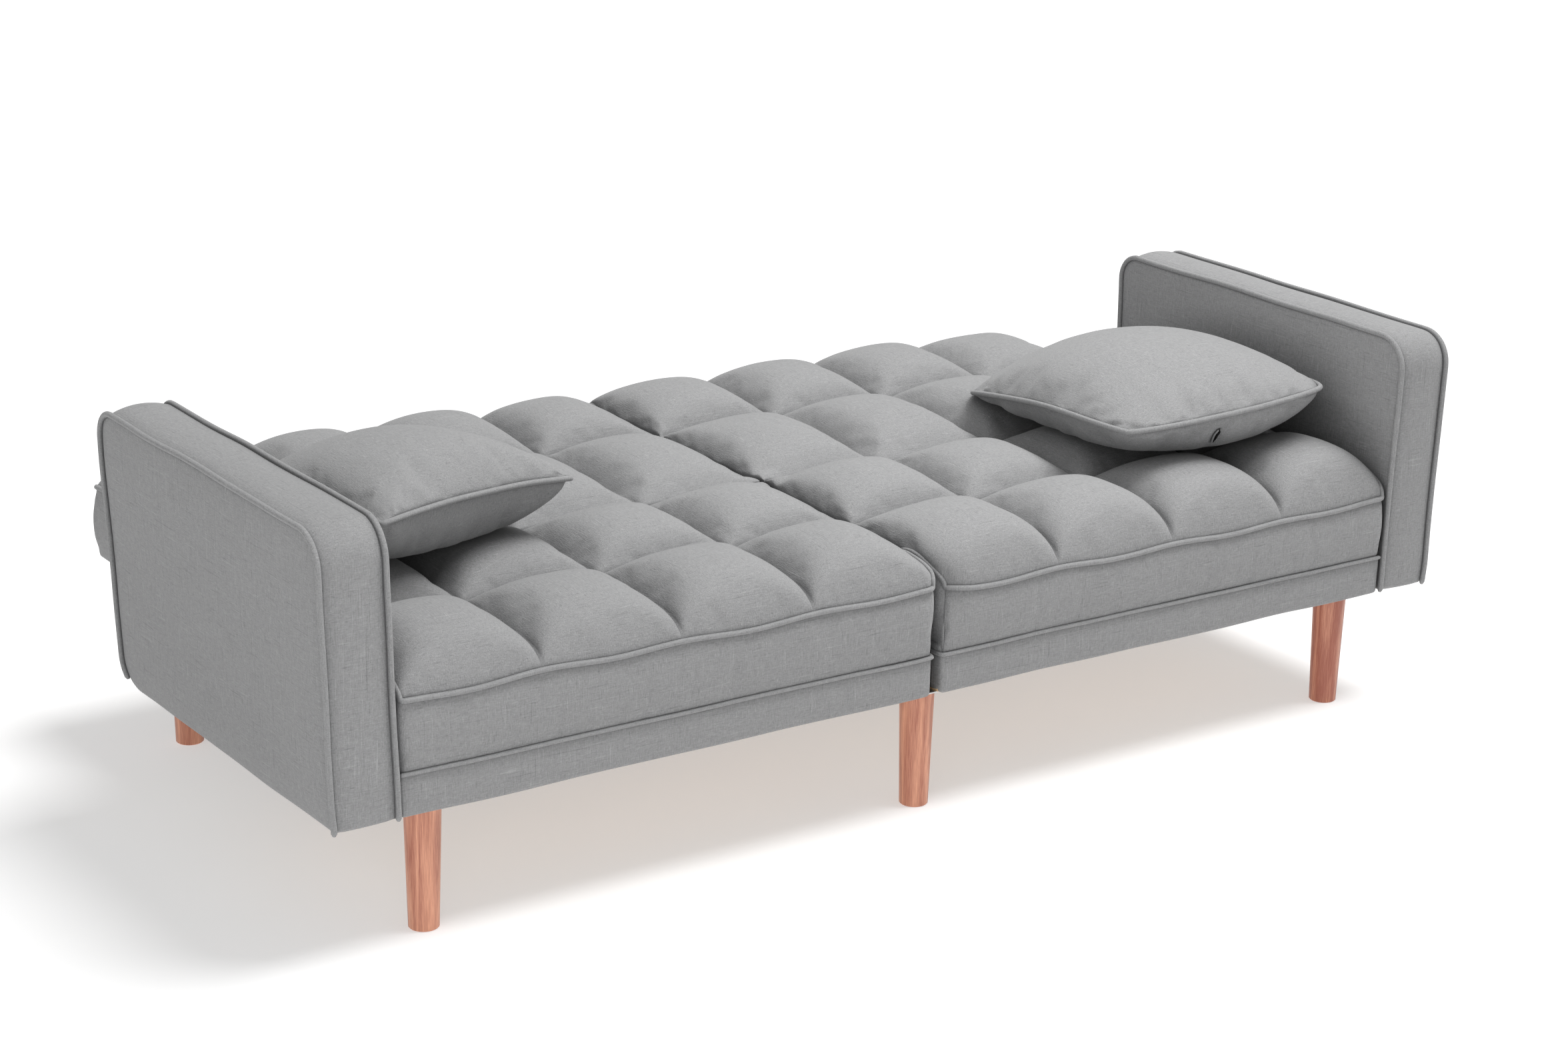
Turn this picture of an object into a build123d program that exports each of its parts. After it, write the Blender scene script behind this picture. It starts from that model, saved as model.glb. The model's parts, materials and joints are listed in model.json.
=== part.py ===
from build123d import *
import os
from math import asin, atan2, cos, sin

os.makedirs("parts", exist_ok=True)

# A split-back futon sofa bed, modelled lying flat as a bed. Millimetres, +Z up.
# X runs along the sofa, +Y points to the back, and the origin is on the floor
# under the middle of the bed. Left and right are as seen from the front.

# ---------------------------------------------------------------- driving sizes
LENGTH = 1900.0  # over both arms
DEPTH = 960.0  # bed depth, front to the end of the lowered back
ARM_TOP_Z = 572.0
FRAME_Z = 178.0  # underside of the frame and arms, top of the legs
RAIL_TOP_Z = 235.0
BAND_TOP_Z = 237.0  # where the front band meets the seat cushion
WELT_Z = 337.0  # front top seam of the seat cushion
HINGE_Z = 360.0  # pivot of the back, just under the fold between the cushions
REAR_WELT_Z = 372.0  # rear top seam of the back cushion
CROWN_Z = 400.0  # top of the cushions
BACK_UNDER_Z = 276.0  # underside of the lowered back

FRONT = -DEPTH / 2
HINGE_Y = FRONT + 440.0  # where seat and back cushions meet
BASE_REAR_Y = FRONT + 824.0  # rear face of the fixed base frame
HALF_GAP = 8.0  # half the gap between the two frame halves
FRAME_END_X = 834.0  # outer end of each frame half
BOARD = 20.0  # thickness of the frame boards
PLY = 12.0  # thickness of the plywood panels

# arms: slabs that lean outwards a little
ARM_THICK = 96.0
ARM_DEPTH_TOP = 653.0
ARM_DEPTH_FOOT = 632.0
ARM_HEIGHT = ARM_TOP_Z - FRAME_Z
ARM_FLARE = 12.0
ARM_PAD = 8.0  # thickness of the padded cover
WELT_R = 3.9
LEAN = atan2(ARM_FLARE, ARM_HEIGHT)
ARM_INNER_FOOT_X = LENGTH / 2 - ARM_THICK * cos(LEAN) - ARM_FLARE

# cushions
CUSHION_INNER_X = 10.0
CUSHION_OUTER_X = 840.0
SEAM_GAP = 3.0  # half the gap between seat and back cushions
FOLD_ROLL = 110.0  # length of the slope from a cushion's crown down to the fold
HINGE_NOTCH = 8.5  # how deep the hinge pocket cuts into a cushion end
PANEL_INSET = 14.0  # how far a panel stays inside its frame's ends

# legs
LEG_BOTTOM_R = 20.5
LEG_TOP_R = 25.0
PLATE = 2.0  # steel leg plate
STUD_R = 4.0
GLIDE_R = 13.0
GLIDE_H = 4.0
FRONT_LEG_Y = FRONT + 45.0
REAR_LEG_Y = FRONT + 793.0
FRONT_LEG_X = 786.0
REAR_LEG_X = 771.0
LEG_TOP_Z = FRAME_Z - PLATE

# hinges
HINGE_PLATE = 3.0
PIN_R = 4.0
RUNNING = 0.06  # radial clearance of the moving plate on its pin
BOSS_R = 8.5
RATCHET_R = 10.0
NOTCH_R = 2.0
PAWL_PIVOT = (HINGE_Y - 38.0, HINGE_Z - 30.0)
PAWL_R = 7.0
RIVET_R = 2.5
MOVING_X = FRAME_END_X  # inner face of the outer moving plate
BRACKET_X = MOVING_X + HINGE_PLATE + 1.0  # inner face of the outer bracket's top
CENTRE_PLATE = 4.0

# bolts
BOLT_R = 4.0
BOLT_HOLE_R = 4.2
BOLT_Z = 207.0
BRACKET_BOLT_Y = (HINGE_Y - 60.0, HINGE_Y - 30.0)
CENTRE_BOLT_Y = (FRONT + 150.0, HINGE_Y - 60.0, HINGE_Y - 30.0, FRONT + 700.0)
ARM_BOLT_Y = (FRONT + 110.0, FRONT + 290.0, FRONT + 560.0)
SCREW_R = 2.5
BACK_SCREWS = ((HINGE_Y + 26.0, BACK_UNDER_Z + 12.0), (HINGE_Y + 60.0, BACK_UNDER_Z + 12.0))

# throw pillows
PILLOW_LENGTH = 392.0
PILLOW_WIDTH = 340.0
PILLOW_THICK = 158.0
REST_GAP = 0.5  # between a pillow and the cushions under it


# ---------------------------------------------------------------- small helpers
def box_between(low, high, mode=Mode.ADD):
    """Add or cut the box with these two opposite corners."""
    size = [b - a for a, b in zip(low, high)]
    with Locations(low):
        Box(*size, align=(Align.MIN, Align.MIN, Align.MIN), mode=mode)


def rod_x(radius, x0, x1, y, z, mode=Mode.ADD):
    """Add or cut a round rod that runs along X."""
    with Locations(((x0 + x1) / 2, y, z)):
        Cylinder(radius, x1 - x0, rotation=(0, 90, 0), mode=mode)


def rod_z(radius, z0, z1, x, y, mode=Mode.ADD):
    """Add or cut a round rod that runs along Z."""
    with Locations((x, y, (z0 + z1) / 2)):
        Cylinder(radius, z1 - z0, mode=mode)


def export_piece(piece, name):
    """Label a finished piece and write its STEP file."""
    piece.part.label = name
    export_step(piece.part, f"parts/{name}.step")


def export_pair(piece, name):
    """Write a right-hand piece and its mirror image as the left-hand one."""
    export_piece(piece, f"right_{name}")
    with BuildPart() as twin:
        mirror(piece.part, about=Plane.YZ)
    export_piece(twin, f"left_{name}")


# ---------------------------------------------------------------- arms
def arm_plane(depth_in):
    """Plane parallel to the right arm's inner face, local x to the rear, y up the arm."""
    return Plane(
        origin=(
            ARM_INNER_FOOT_X + depth_in * cos(LEAN),
            FRONT,
            FRAME_Z - depth_in * sin(LEAN),
        ),
        x_dir=(0, 1, 0),
        z_dir=(cos(LEAN), 0, -sin(LEAN)),
    )


def arm_slab(depth_in, thick, inset, mode=Mode.ADD):
    """Add or cut a slab with the arm's side outline, drawn in by inset all round."""
    with BuildSketch(arm_plane(depth_in)) as side:
        with BuildLine():
            FilletPolyline(
                (inset, inset),
                (ARM_DEPTH_FOOT - inset, inset),
                (ARM_DEPTH_TOP - inset, ARM_HEIGHT - inset),
                (inset, ARM_HEIGHT - inset),
                radius=[3, 36 - inset, 38 - inset, 48 - inset],
                close=True,
            )
        make_face()
    extrude(side.sketch, amount=thick, mode=mode)


def arm_bolt_holes():
    """Cut the holes that the arm bolts pass through."""
    for y in ARM_BOLT_Y:
        rod_x(BOLT_HOLE_R, FRAME_END_X - BOARD - 5, ARM_INNER_FOOT_X + 30, y, BOLT_Z, Mode.SUBTRACT)


COVER_INSET = ARM_PAD + 1.0

with BuildPart() as arm_core_frame:
    arm_slab(ARM_PAD + PLY, ARM_THICK - 2 * (ARM_PAD + PLY), COVER_INSET)
    with BuildSketch(arm_plane(ARM_PAD + PLY)) as windows:
        with GridLocations(196, 1, 3, 1):
            with Locations((ARM_DEPTH_FOOT / 2, ARM_HEIGHT / 2)):
                RectangleRounded(152, ARM_HEIGHT - 110, 12)
    extrude(windows.sketch, amount=ARM_THICK, mode=Mode.SUBTRACT)
    arm_bolt_holes()

with BuildPart() as arm_panels:
    arm_slab(ARM_PAD, PLY, COVER_INSET)
    arm_slab(ARM_THICK - ARM_PAD - PLY, PLY, COVER_INSET)
    arm_bolt_holes()

# The padded cover: an inner and an outer side panel, and the boxing strip between them.
with BuildPart() as arm_cover:
    arm_slab(ARM_PAD, ARM_THICK - 2 * ARM_PAD, 0)
    arm_slab(ARM_PAD, ARM_THICK - 2 * ARM_PAD, COVER_INSET, Mode.SUBTRACT)
    arm_slab(0, ARM_PAD, COVER_INSET)
    arm_slab(ARM_THICK - ARM_PAD, ARM_PAD, COVER_INSET)
    arm_bolt_holes()

# Piping along both edges of the boxing strip, up the front, over the top and down the rear.
with BuildPart() as arm_welts:
    for depth_in in (WELT_R, ARM_THICK - WELT_R):
        with BuildLine(arm_plane(depth_in)) as edge:
            FilletPolyline(
                (4.5, 2),
                (4.5, ARM_HEIGHT - 4.5),
                (ARM_DEPTH_TOP - 4.5, ARM_HEIGHT - 4.5),
                (ARM_DEPTH_FOOT - 4.5, 4.5),
                (ARM_DEPTH_FOOT - 80, 4.5),
                radius=[43.5, 33.5, 31.5],
            )
        with BuildSketch(Plane(edge.line @ 0, z_dir=edge.line % 0)):
            Circle(WELT_R)
        sweep(path=edge.line)

# Wedge blocks between the upright end rail and the leaning arm.
with BuildPart() as arm_cleats:
    for y in ARM_BOLT_Y:
        with BuildSketch(Plane.XZ.offset(-(y - 40))) as wedge:
            with BuildLine():
                Polyline(
                    (FRAME_END_X, FRAME_Z + 4),
                    (ARM_INNER_FOOT_X + 4 * ARM_FLARE / ARM_HEIGHT, FRAME_Z + 4),
                    (ARM_INNER_FOOT_X + 52 * ARM_FLARE / ARM_HEIGHT, FRAME_Z + 52),
                    (FRAME_END_X, FRAME_Z + 52),
                    close=True,
                )
            make_face()
        extrude(wedge.sketch, amount=-80)
    arm_bolt_holes()

export_pair(arm_core_frame, "arm_core_frame")
export_pair(arm_panels, "arm_panels")
export_pair(arm_cover, "arm_cover")
export_pair(arm_welts, "arm_welts")
export_pair(arm_cleats, "arm_cleats")

# ---------------------------------------------------------------- base frame
INNER_X = HALF_GAP + BOARD  # inside face of the inner end rail
OUTER_X = FRAME_END_X - BOARD  # inside face of the outer end rail
FRONT_RAIL_Y = FRONT + ARM_PAD
RAIL_REAR_Y = BASE_REAR_Y - BOARD  # front face of the rear rail
MID_RAIL_Y = FRONT + 422.0
DECK_REAR_Y = FRONT + 430.0

with BuildPart() as front_rail:
    box_between((HALF_GAP, FRONT_RAIL_Y, FRAME_Z), (FRAME_END_X, FRONT_RAIL_Y + BOARD, RAIL_TOP_Z))

with BuildPart() as outer_end_rail:
    box_between((OUTER_X, FRONT_RAIL_Y + BOARD, FRAME_Z), (FRAME_END_X, RAIL_REAR_Y, RAIL_TOP_Z))
    for hole_y in ARM_BOLT_Y + BRACKET_BOLT_Y:
        rod_x(BOLT_HOLE_R, OUTER_X - 1, FRAME_END_X + 1, hole_y, BOLT_Z, Mode.SUBTRACT)

with BuildPart() as inner_end_rail:
    box_between((HALF_GAP, FRONT_RAIL_Y + BOARD, FRAME_Z), (INNER_X, RAIL_REAR_Y, RAIL_TOP_Z))
    for hole_y in CENTRE_BOLT_Y:
        rod_x(BOLT_HOLE_R, HALF_GAP - 1, INNER_X + 1, hole_y, BOLT_Z, Mode.SUBTRACT)

with BuildPart() as middle_rail:
    box_between((INNER_X, MID_RAIL_Y, FRAME_Z), (OUTER_X, MID_RAIL_Y + BOARD, RAIL_TOP_Z))

# The rear rail is taller: the lowered back rests on it.
with BuildPart() as rear_rail:
    box_between((HALF_GAP, RAIL_REAR_Y, FRAME_Z), (FRAME_END_X, BASE_REAR_Y, BACK_UNDER_Z - 0.3))

with BuildPart() as seat_deck:
    box_between(
        (HALF_GAP + PANEL_INSET, FRONT + 12, RAIL_TOP_Z),
        (FRAME_END_X - PANEL_INSET, DECK_REAR_Y, RAIL_TOP_Z + PLY),
    )

with BuildPart() as front_band:
    box_between((HALF_GAP + 1, FRONT, FRAME_Z), (ARM_INNER_FOOT_X - 1, FRONT_RAIL_Y, BAND_TOP_Z))

# Glue blocks that take the leg plates' screws, one beside each leg.
BLOCK_TOP_Z = RAIL_TOP_Z - 1
with BuildPart() as corner_blocks:
    for side in (1, -1):
        for inner, outer in ((INNER_X, 80.0), (FRONT_LEG_X - 35, OUTER_X)):
            low, high = sorted((side * inner, side * outer))
            box_between((low, FRONT_RAIL_Y + BOARD, FRAME_Z), (high, FRONT + 80, BLOCK_TOP_Z))
        for inner, outer in ((INNER_X, 80.0), (REAR_LEG_X - 35, OUTER_X)):
            low, high = sorted((side * inner, side * outer))
            box_between((low, RAIL_REAR_Y - 46, FRAME_Z), (high, RAIL_REAR_Y, BLOCK_TOP_Z))
    for leg_x in (FRONT_LEG_X, -FRONT_LEG_X):
        rod_z(BOLT_HOLE_R, FRAME_Z - 1, FRAME_Z + 30, leg_x, FRONT_LEG_Y, Mode.SUBTRACT)
    for leg_x in (REAR_LEG_X, -REAR_LEG_X):
        rod_z(BOLT_HOLE_R, FRAME_Z - 1, FRAME_Z + 30, leg_x, REAR_LEG_Y, Mode.SUBTRACT)

export_pair(front_rail, "front_rail")
export_pair(outer_end_rail, "outer_end_rail")
export_pair(inner_end_rail, "inner_end_rail")
export_pair(middle_rail, "middle_rail")
export_pair(rear_rail, "rear_rail")
export_pair(seat_deck, "seat_deck")
export_pair(front_band, "front_band")
export_piece(corner_blocks, "corner_blocks")

# ---------------------------------------------------------------- legs
LEGS = {
    "front_left_leg": (-FRONT_LEG_X, FRONT_LEG_Y),
    "front_center_leg": (0.0, FRONT_LEG_Y),
    "front_right_leg": (FRONT_LEG_X, FRONT_LEG_Y),
    "rear_left_leg": (-REAR_LEG_X, REAR_LEG_Y),
    "rear_center_leg": (0.0, REAR_LEG_Y),
    "rear_right_leg": (REAR_LEG_X, REAR_LEG_Y),
}
STUD_BOTTOM_Z = LEG_TOP_Z - 40
STUD_TOP_Z = FRAME_Z + 20

for leg_name, (leg_x, leg_y) in LEGS.items():
    with BuildPart() as leg:
        with BuildSketch(Plane((leg_x, leg_y, 0), x_dir=(1, 0, 0), z_dir=(0, -1, 0))) as half_leg:
            Polygon(
                (0, 0),
                (LEG_BOTTOM_R - 1.5, 0),
                (LEG_BOTTOM_R, 1.5),
                (LEG_TOP_R, LEG_TOP_Z),
                (0, LEG_TOP_Z),
                align=None,
            )
        revolve(half_leg.sketch, axis=Axis((leg_x, leg_y, 0), (0, 0, 1)))
        rod_z(GLIDE_R, 0, GLIDE_H, leg_x, leg_y, Mode.SUBTRACT)
        rod_z(STUD_R, STUD_BOTTOM_Z, LEG_TOP_Z, leg_x, leg_y, Mode.SUBTRACT)
    export_piece(leg, leg_name)

with BuildPart() as leg_glides:
    for leg_x, leg_y in LEGS.values():
        rod_z(GLIDE_R, 0, GLIDE_H, leg_x, leg_y)

with BuildPart() as leg_studs:
    for leg_x, leg_y in LEGS.values():
        rod_z(STUD_R, STUD_BOTTOM_Z, STUD_TOP_Z, leg_x, leg_y)

# One square plate over each outer leg, and a long one over each middle leg that ties both halves.
with BuildPart() as leg_plates:
    for leg_x, leg_y in LEGS.values():
        half_x = 80.0 if leg_x == 0 else 35.0
        box_between((leg_x - half_x, leg_y - 35, LEG_TOP_Z), (leg_x + half_x, leg_y + 35, FRAME_Z))
        rod_z(STUD_R, LEG_TOP_Z - 1, FRAME_Z + 1, leg_x, leg_y, Mode.SUBTRACT)

export_piece(leg_glides, "leg_glides")
export_piece(leg_studs, "leg_studs")
export_piece(leg_plates, "leg_plates")

# ---------------------------------------------------------------- seat and back cushions
SEAT_REAR_Y = HINGE_Y - SEAM_GAP
BACK_FRONT_Y = HINGE_Y + SEAM_GAP
BACK_REAR_Y = DEPTH / 2
EDGE_Z = HINGE_Z - 1.0  # top edge of both cushions at the fold
FRAME_TOP_Z = BACK_UNDER_Z + 23.0
BACK_FRAME_Y = (HINGE_Y + 9.0, BACK_REAR_Y - 10.0)
BACK_PANEL_Y = (HINGE_Y + 15.0, BACK_REAR_Y - 16.0)


def hinge_notch(y0, y1):
    """Cut the pocket in the cushion's outer end that leaves room for the hinge."""
    low_x = CUSHION_OUTER_X - HINGE_NOTCH
    box_between((low_x, y0, BAND_TOP_Z - 1), (CUSHION_OUTER_X + 1, y1, CROWN_Z + 1), Mode.SUBTRACT)


with BuildPart() as seat_cushion:
    with BuildSketch(Plane.YZ.offset(CUSHION_INNER_X)) as profile:
        with BuildLine():
            Line((FRONT, BAND_TOP_Z), (FRONT, WELT_Z))
            TangentArc((FRONT + 100, CROWN_Z), (FRONT, WELT_Z), tangent=(-1, 0))
            Line((FRONT + 100, CROWN_Z), (SEAT_REAR_Y - FOLD_ROLL, CROWN_Z))
            TangentArc((SEAT_REAR_Y - FOLD_ROLL, CROWN_Z), (SEAT_REAR_Y, EDGE_Z), tangent=(1, 0))
            Line((SEAT_REAR_Y, EDGE_Z), (SEAT_REAR_Y, BAND_TOP_Z))
            Line((SEAT_REAR_Y, BAND_TOP_Z), (FRONT, BAND_TOP_Z))
        make_face()
    extrude(profile.sketch, amount=CUSHION_OUTER_X - CUSHION_INNER_X)
    box_between(
        (HALF_GAP + PANEL_INSET, FRONT + 12, BAND_TOP_Z - 1),
        (FRAME_END_X - PANEL_INSET, DECK_REAR_Y, RAIL_TOP_Z + PLY),
        Mode.SUBTRACT,
    )
    hinge_notch(HINGE_Y - 90, HINGE_Y)

with BuildPart() as back_cushion:
    with BuildSketch(Plane.YZ.offset(CUSHION_INNER_X)) as profile:
        with BuildLine():
            Line((BACK_FRONT_Y, BACK_UNDER_Z + 1), (BACK_FRONT_Y, EDGE_Z))
            TangentArc((BACK_FRONT_Y + FOLD_ROLL, CROWN_Z), (BACK_FRONT_Y, EDGE_Z), tangent=(-1, 0))
            Line((BACK_FRONT_Y + FOLD_ROLL, CROWN_Z), (BACK_REAR_Y - 100, CROWN_Z))
            TangentArc((BACK_REAR_Y - 100, CROWN_Z), (BACK_REAR_Y - 4, REAR_WELT_Z), tangent=(1, 0))
            ThreePointArc(
                (BACK_REAR_Y - 4, REAR_WELT_Z),
                (BACK_REAR_Y, 330),
                (BACK_REAR_Y - 6, BACK_UNDER_Z + 1),
            )
            Line((BACK_REAR_Y - 6, BACK_UNDER_Z + 1), (BACK_FRONT_Y, BACK_UNDER_Z + 1))
        make_face()
    extrude(profile.sketch, amount=CUSHION_OUTER_X - CUSHION_INNER_X)
    box_between(
        (0, BACK_FRAME_Y[0], BACK_UNDER_Z),
        (FRAME_END_X, BACK_FRAME_Y[1], FRAME_TOP_Z),
        Mode.SUBTRACT,
    )
    box_between(
        (HALF_GAP + PANEL_INSET, BACK_PANEL_Y[0], FRAME_TOP_Z - 1),
        (FRAME_END_X - PANEL_INSET, BACK_PANEL_Y[1], FRAME_TOP_Z + PLY),
        Mode.SUBTRACT,
    )
    hinge_notch(HINGE_Y, HINGE_Y + 78)

# Ladder frame of one back half, with three cross members.
BACK_INNER_X = HALF_GAP - 2.0
WINDOW_PITCH = (FRAME_END_X - BACK_INNER_X - 40) / 4
with BuildPart() as back_frame:
    box_between(
        (BACK_INNER_X, BACK_FRAME_Y[0], BACK_UNDER_Z + 1),
        (FRAME_END_X, BACK_FRAME_Y[1], FRAME_TOP_Z),
    )
    for bay in range(4):
        bay_x = BACK_INNER_X + 35 + bay * WINDOW_PITCH
        box_between(
            (bay_x, BACK_FRAME_Y[0] + 40, BACK_UNDER_Z),
            (bay_x + WINDOW_PITCH - 30, BACK_FRAME_Y[1] - 40, FRAME_TOP_Z + 1),
            Mode.SUBTRACT,
        )
    for screw_y, screw_z in BACK_SCREWS:
        for x0, x1 in ((BACK_INNER_X - 1, BACK_INNER_X + 20), (FRAME_END_X - 20, FRAME_END_X + 1)):
            rod_x(SCREW_R, x0, x1, screw_y, screw_z, Mode.SUBTRACT)

with BuildPart() as back_panel:
    box_between(
        (HALF_GAP + PANEL_INSET, BACK_PANEL_Y[0], FRAME_TOP_Z),
        (FRAME_END_X - PANEL_INSET, BACK_PANEL_Y[1], FRAME_TOP_Z + PLY),
    )

with BuildPart() as back_dust_cover:
    box_between(
        (BACK_INNER_X + 4, BACK_FRAME_Y[0] + 3, BACK_UNDER_Z),
        (FRAME_END_X - 4, BACK_FRAME_Y[1] - 3, BACK_UNDER_Z + 1),
    )

export_pair(seat_cushion, "seat_cushion")
export_pair(back_cushion, "back_cushion")
export_pair(back_frame, "back_frame")
export_pair(back_panel, "back_panel")
export_pair(back_dust_cover, "back_dust_cover")

# ---------------------------------------------------------------- click-clack hinges
BRACKET_FOOT_Y = (HINGE_Y - 80.0, HINGE_Y - 12.0)
JOGGLE_Z = 285.0


def bracket_outline():
    """Face with the fixed bracket's side outline, in the YZ plane."""
    with BuildSketch(Plane.YZ.offset(-10)) as outline:
        with Locations((HINGE_Y, HINGE_Z)):
            Circle(BOSS_R)
        with Locations(PAWL_PIVOT):
            Circle(PAWL_R + 2)
        with Locations((sum(BRACKET_FOOT_Y) / 2, BOLT_Z + 4)):
            Rectangle(BRACKET_FOOT_Y[1] - BRACKET_FOOT_Y[0], 42)
        make_hull()
    return outline.sketch


# Outer bracket: bolted flat on the end rail, stepped outwards to clear the moving plate.
with BuildPart() as hinge_bracket:
    with BuildSketch(Plane.XZ.offset(-(HINGE_Y - 90))) as steps:
        with BuildLine():
            Polyline(
                (FRAME_END_X, FRAME_Z),
                (FRAME_END_X + HINGE_PLATE, FRAME_Z),
                (FRAME_END_X + HINGE_PLATE, JOGGLE_Z - 1),
                (BRACKET_X + HINGE_PLATE, JOGGLE_Z + 10),
                (BRACKET_X + HINGE_PLATE, HINGE_Z + 20),
                (BRACKET_X, HINGE_Z + 20),
                (BRACKET_X, JOGGLE_Z + 11),
                (FRAME_END_X, JOGGLE_Z),
                close=True,
            )
        make_face()
    extrude(steps.sketch, amount=-110)
    extrude(bracket_outline(), amount=FRAME_END_X + 40, mode=Mode.INTERSECT)
    rod_x(PIN_R, BRACKET_X - 1, BRACKET_X + 5, HINGE_Y, HINGE_Z, Mode.SUBTRACT)
    rod_x(RIVET_R, BRACKET_X - 1, BRACKET_X + 5, *PAWL_PIVOT, Mode.SUBTRACT)
    for hole_y in BRACKET_BOLT_Y:
        rod_x(BOLT_HOLE_R, FRAME_END_X - 1, BRACKET_X + 5, hole_y, BOLT_Z, Mode.SUBTRACT)

# The centre plate stands between the two halves and carries both inner pivots.
with BuildPart() as center_hinge_plate:
    extrude(bracket_outline(), amount=10 + CENTRE_PLATE / 2)
    box_between((-11, -DEPTH, 0), (-CENTRE_PLATE / 2, DEPTH, ARM_TOP_Z), Mode.SUBTRACT)
    rod_x(PIN_R, -9, 9, HINGE_Y, HINGE_Z, Mode.SUBTRACT)
    for hole_y in BRACKET_BOLT_Y:
        rod_x(BOLT_HOLE_R, -9, 9, hole_y, BOLT_Z, Mode.SUBTRACT)


def moving_plate(x0):
    """Add one moving plate: a hub with three ratchet notches, and a foot on the back frame."""
    with BuildSketch(Plane.YZ.offset(x0)) as outline:
        with Locations((HINGE_Y, HINGE_Z)):
            Circle(BOSS_R)
        with Locations((HINGE_Y + 43, BACK_UNDER_Z + 12)):
            Rectangle(58, 18)
        make_hull()
        with Locations((HINGE_Y, HINGE_Z)):
            Circle(RATCHET_R)
            with PolarLocations(RATCHET_R + 0.5, 3, start_angle=135, angular_range=80):
                Circle(NOTCH_R, mode=Mode.SUBTRACT)
            Circle(PIN_R + RUNNING, mode=Mode.SUBTRACT)
        with Locations(*BACK_SCREWS):
            Circle(SCREW_R + 0.2, mode=Mode.SUBTRACT)
    extrude(outline.sketch, amount=HINGE_PLATE)


with BuildPart() as back_hinge_plates:
    moving_plate(BACK_INNER_X - HINGE_PLATE)
    moving_plate(MOVING_X)

# Screws that hold the moving plates on the ends of the back frame.
HEAD_R = 4.5
HEAD_H = 1.6
with BuildPart() as back_hinge_screws:
    for screw_y, screw_z in BACK_SCREWS:
        plate_face = BACK_INNER_X - HINGE_PLATE
        rod_x(HEAD_R, plate_face - HEAD_H, plate_face, screw_y, screw_z)
        rod_x(SCREW_R, plate_face, BACK_INNER_X + 20, screw_y, screw_z)
        plate_face = MOVING_X + HINGE_PLATE
        rod_x(SCREW_R, FRAME_END_X - 20, plate_face, screw_y, screw_z)
        rod_x(HEAD_R, plate_face, plate_face + HEAD_H, screw_y, screw_z)

# Pivot pins, riveted into the brackets, and the pawls' rivets.
with BuildPart() as hinge_pins:
    rod_x(PIN_R, -6.2, 6.2, HINGE_Y, HINGE_Z)
    for side in (1, -1):
        low, high = sorted((side * 6.2, side * 8.0))
        rod_x(PIN_R + 2.5, low, high, HINGE_Y, HINGE_Z)
        low, high = sorted((side * (MOVING_X - 0.2), side * (BRACKET_X + HINGE_PLATE + 1.5)))
        rod_x(PIN_R, low, high, HINGE_Y, HINGE_Z)
        low, high = sorted((side * (MOVING_X - 2.0), side * (MOVING_X - 0.2)))
        rod_x(PIN_R + 2.5, low, high, HINGE_Y, HINGE_Z)
        low, high = sorted((side * (MOVING_X - 1.2), side * (BRACKET_X + HINGE_PLATE + 1.5)))
        rod_x(RIVET_R, low, high, *PAWL_PIVOT)

# Spring pawl that drops into the ratchet notches. It is drawn just clear of the hub.
PAWL_TIP = (HINGE_Y - 10.8, HINGE_Z - 7.6)
with BuildPart() as hinge_pawl:
    with BuildSketch(Plane.YZ.offset(MOVING_X)) as outline:
        with Locations(PAWL_PIVOT):
            Circle(PAWL_R)
        with Locations(PAWL_TIP):
            Circle(2)
        make_hull()
        with Locations(PAWL_PIVOT):
            Circle(RIVET_R + RUNNING, mode=Mode.SUBTRACT)
    extrude(outline.sketch, amount=HINGE_PLATE)

export_pair(hinge_bracket, "hinge_bracket")
export_piece(center_hinge_plate, "center_hinge_plate")
export_pair(back_hinge_plates, "back_hinge_plates")
export_pair(back_hinge_screws, "back_hinge_screws")
export_piece(hinge_pins, "hinge_pins")
export_pair(hinge_pawl, "hinge_pawl")

# ---------------------------------------------------------------- frame bolts
# M8 bolts through the outer end rails: three into each arm, two through each bracket.
with BuildPart() as frame_bolts:
    for side in (1, -1):
        for y in ARM_BOLT_Y:
            low, high = sorted((side * (OUTER_X - 5), side * OUTER_X))
            rod_x(8, low, high, y, BOLT_Z)
            low, high = sorted((side * OUTER_X, side * (ARM_INNER_FOOT_X + 26)))
            rod_x(BOLT_R, low, high, y, BOLT_Z)
        for y in BRACKET_BOLT_Y:
            plate_face = FRAME_END_X + HINGE_PLATE
            low, high = sorted((side * plate_face, side * (plate_face + 3)))
            rod_x(8, low, high, y, BOLT_Z)
            low, high = sorted((side * (OUTER_X - 6), side * plate_face))
            rod_x(BOLT_R, low, high, y, BOLT_Z)

with BuildPart() as center_bolts:
    for y in CENTRE_BOLT_Y:
        rod_x(8, -INNER_X - 6, -INNER_X, y, BOLT_Z)
        rod_x(BOLT_R, -INNER_X, INNER_X, y, BOLT_Z)
        rod_x(8, INNER_X, INNER_X + 5, y, BOLT_Z)

# Washers and sleeves on the centre bolts keep the halves and the hinge plate apart.
with BuildPart() as center_spacers:
    for y in CENTRE_BOLT_Y:
        rod_x(10, -HALF_GAP, HALF_GAP, y, BOLT_Z)
        rod_x(BOLT_HOLE_R, -HALF_GAP - 1, HALF_GAP + 1, y, BOLT_Z, Mode.SUBTRACT)
    box_between(
        (-CENTRE_PLATE / 2, BRACKET_FOOT_Y[0] - 1, FRAME_Z),
        (CENTRE_PLATE / 2, BRACKET_FOOT_Y[1] + 1, RAIL_TOP_Z),
        Mode.SUBTRACT,
    )

export_piece(frame_bolts, "frame_bolts")
export_piece(center_bolts, "center_bolts")
export_piece(center_spacers, "center_spacers")


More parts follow.
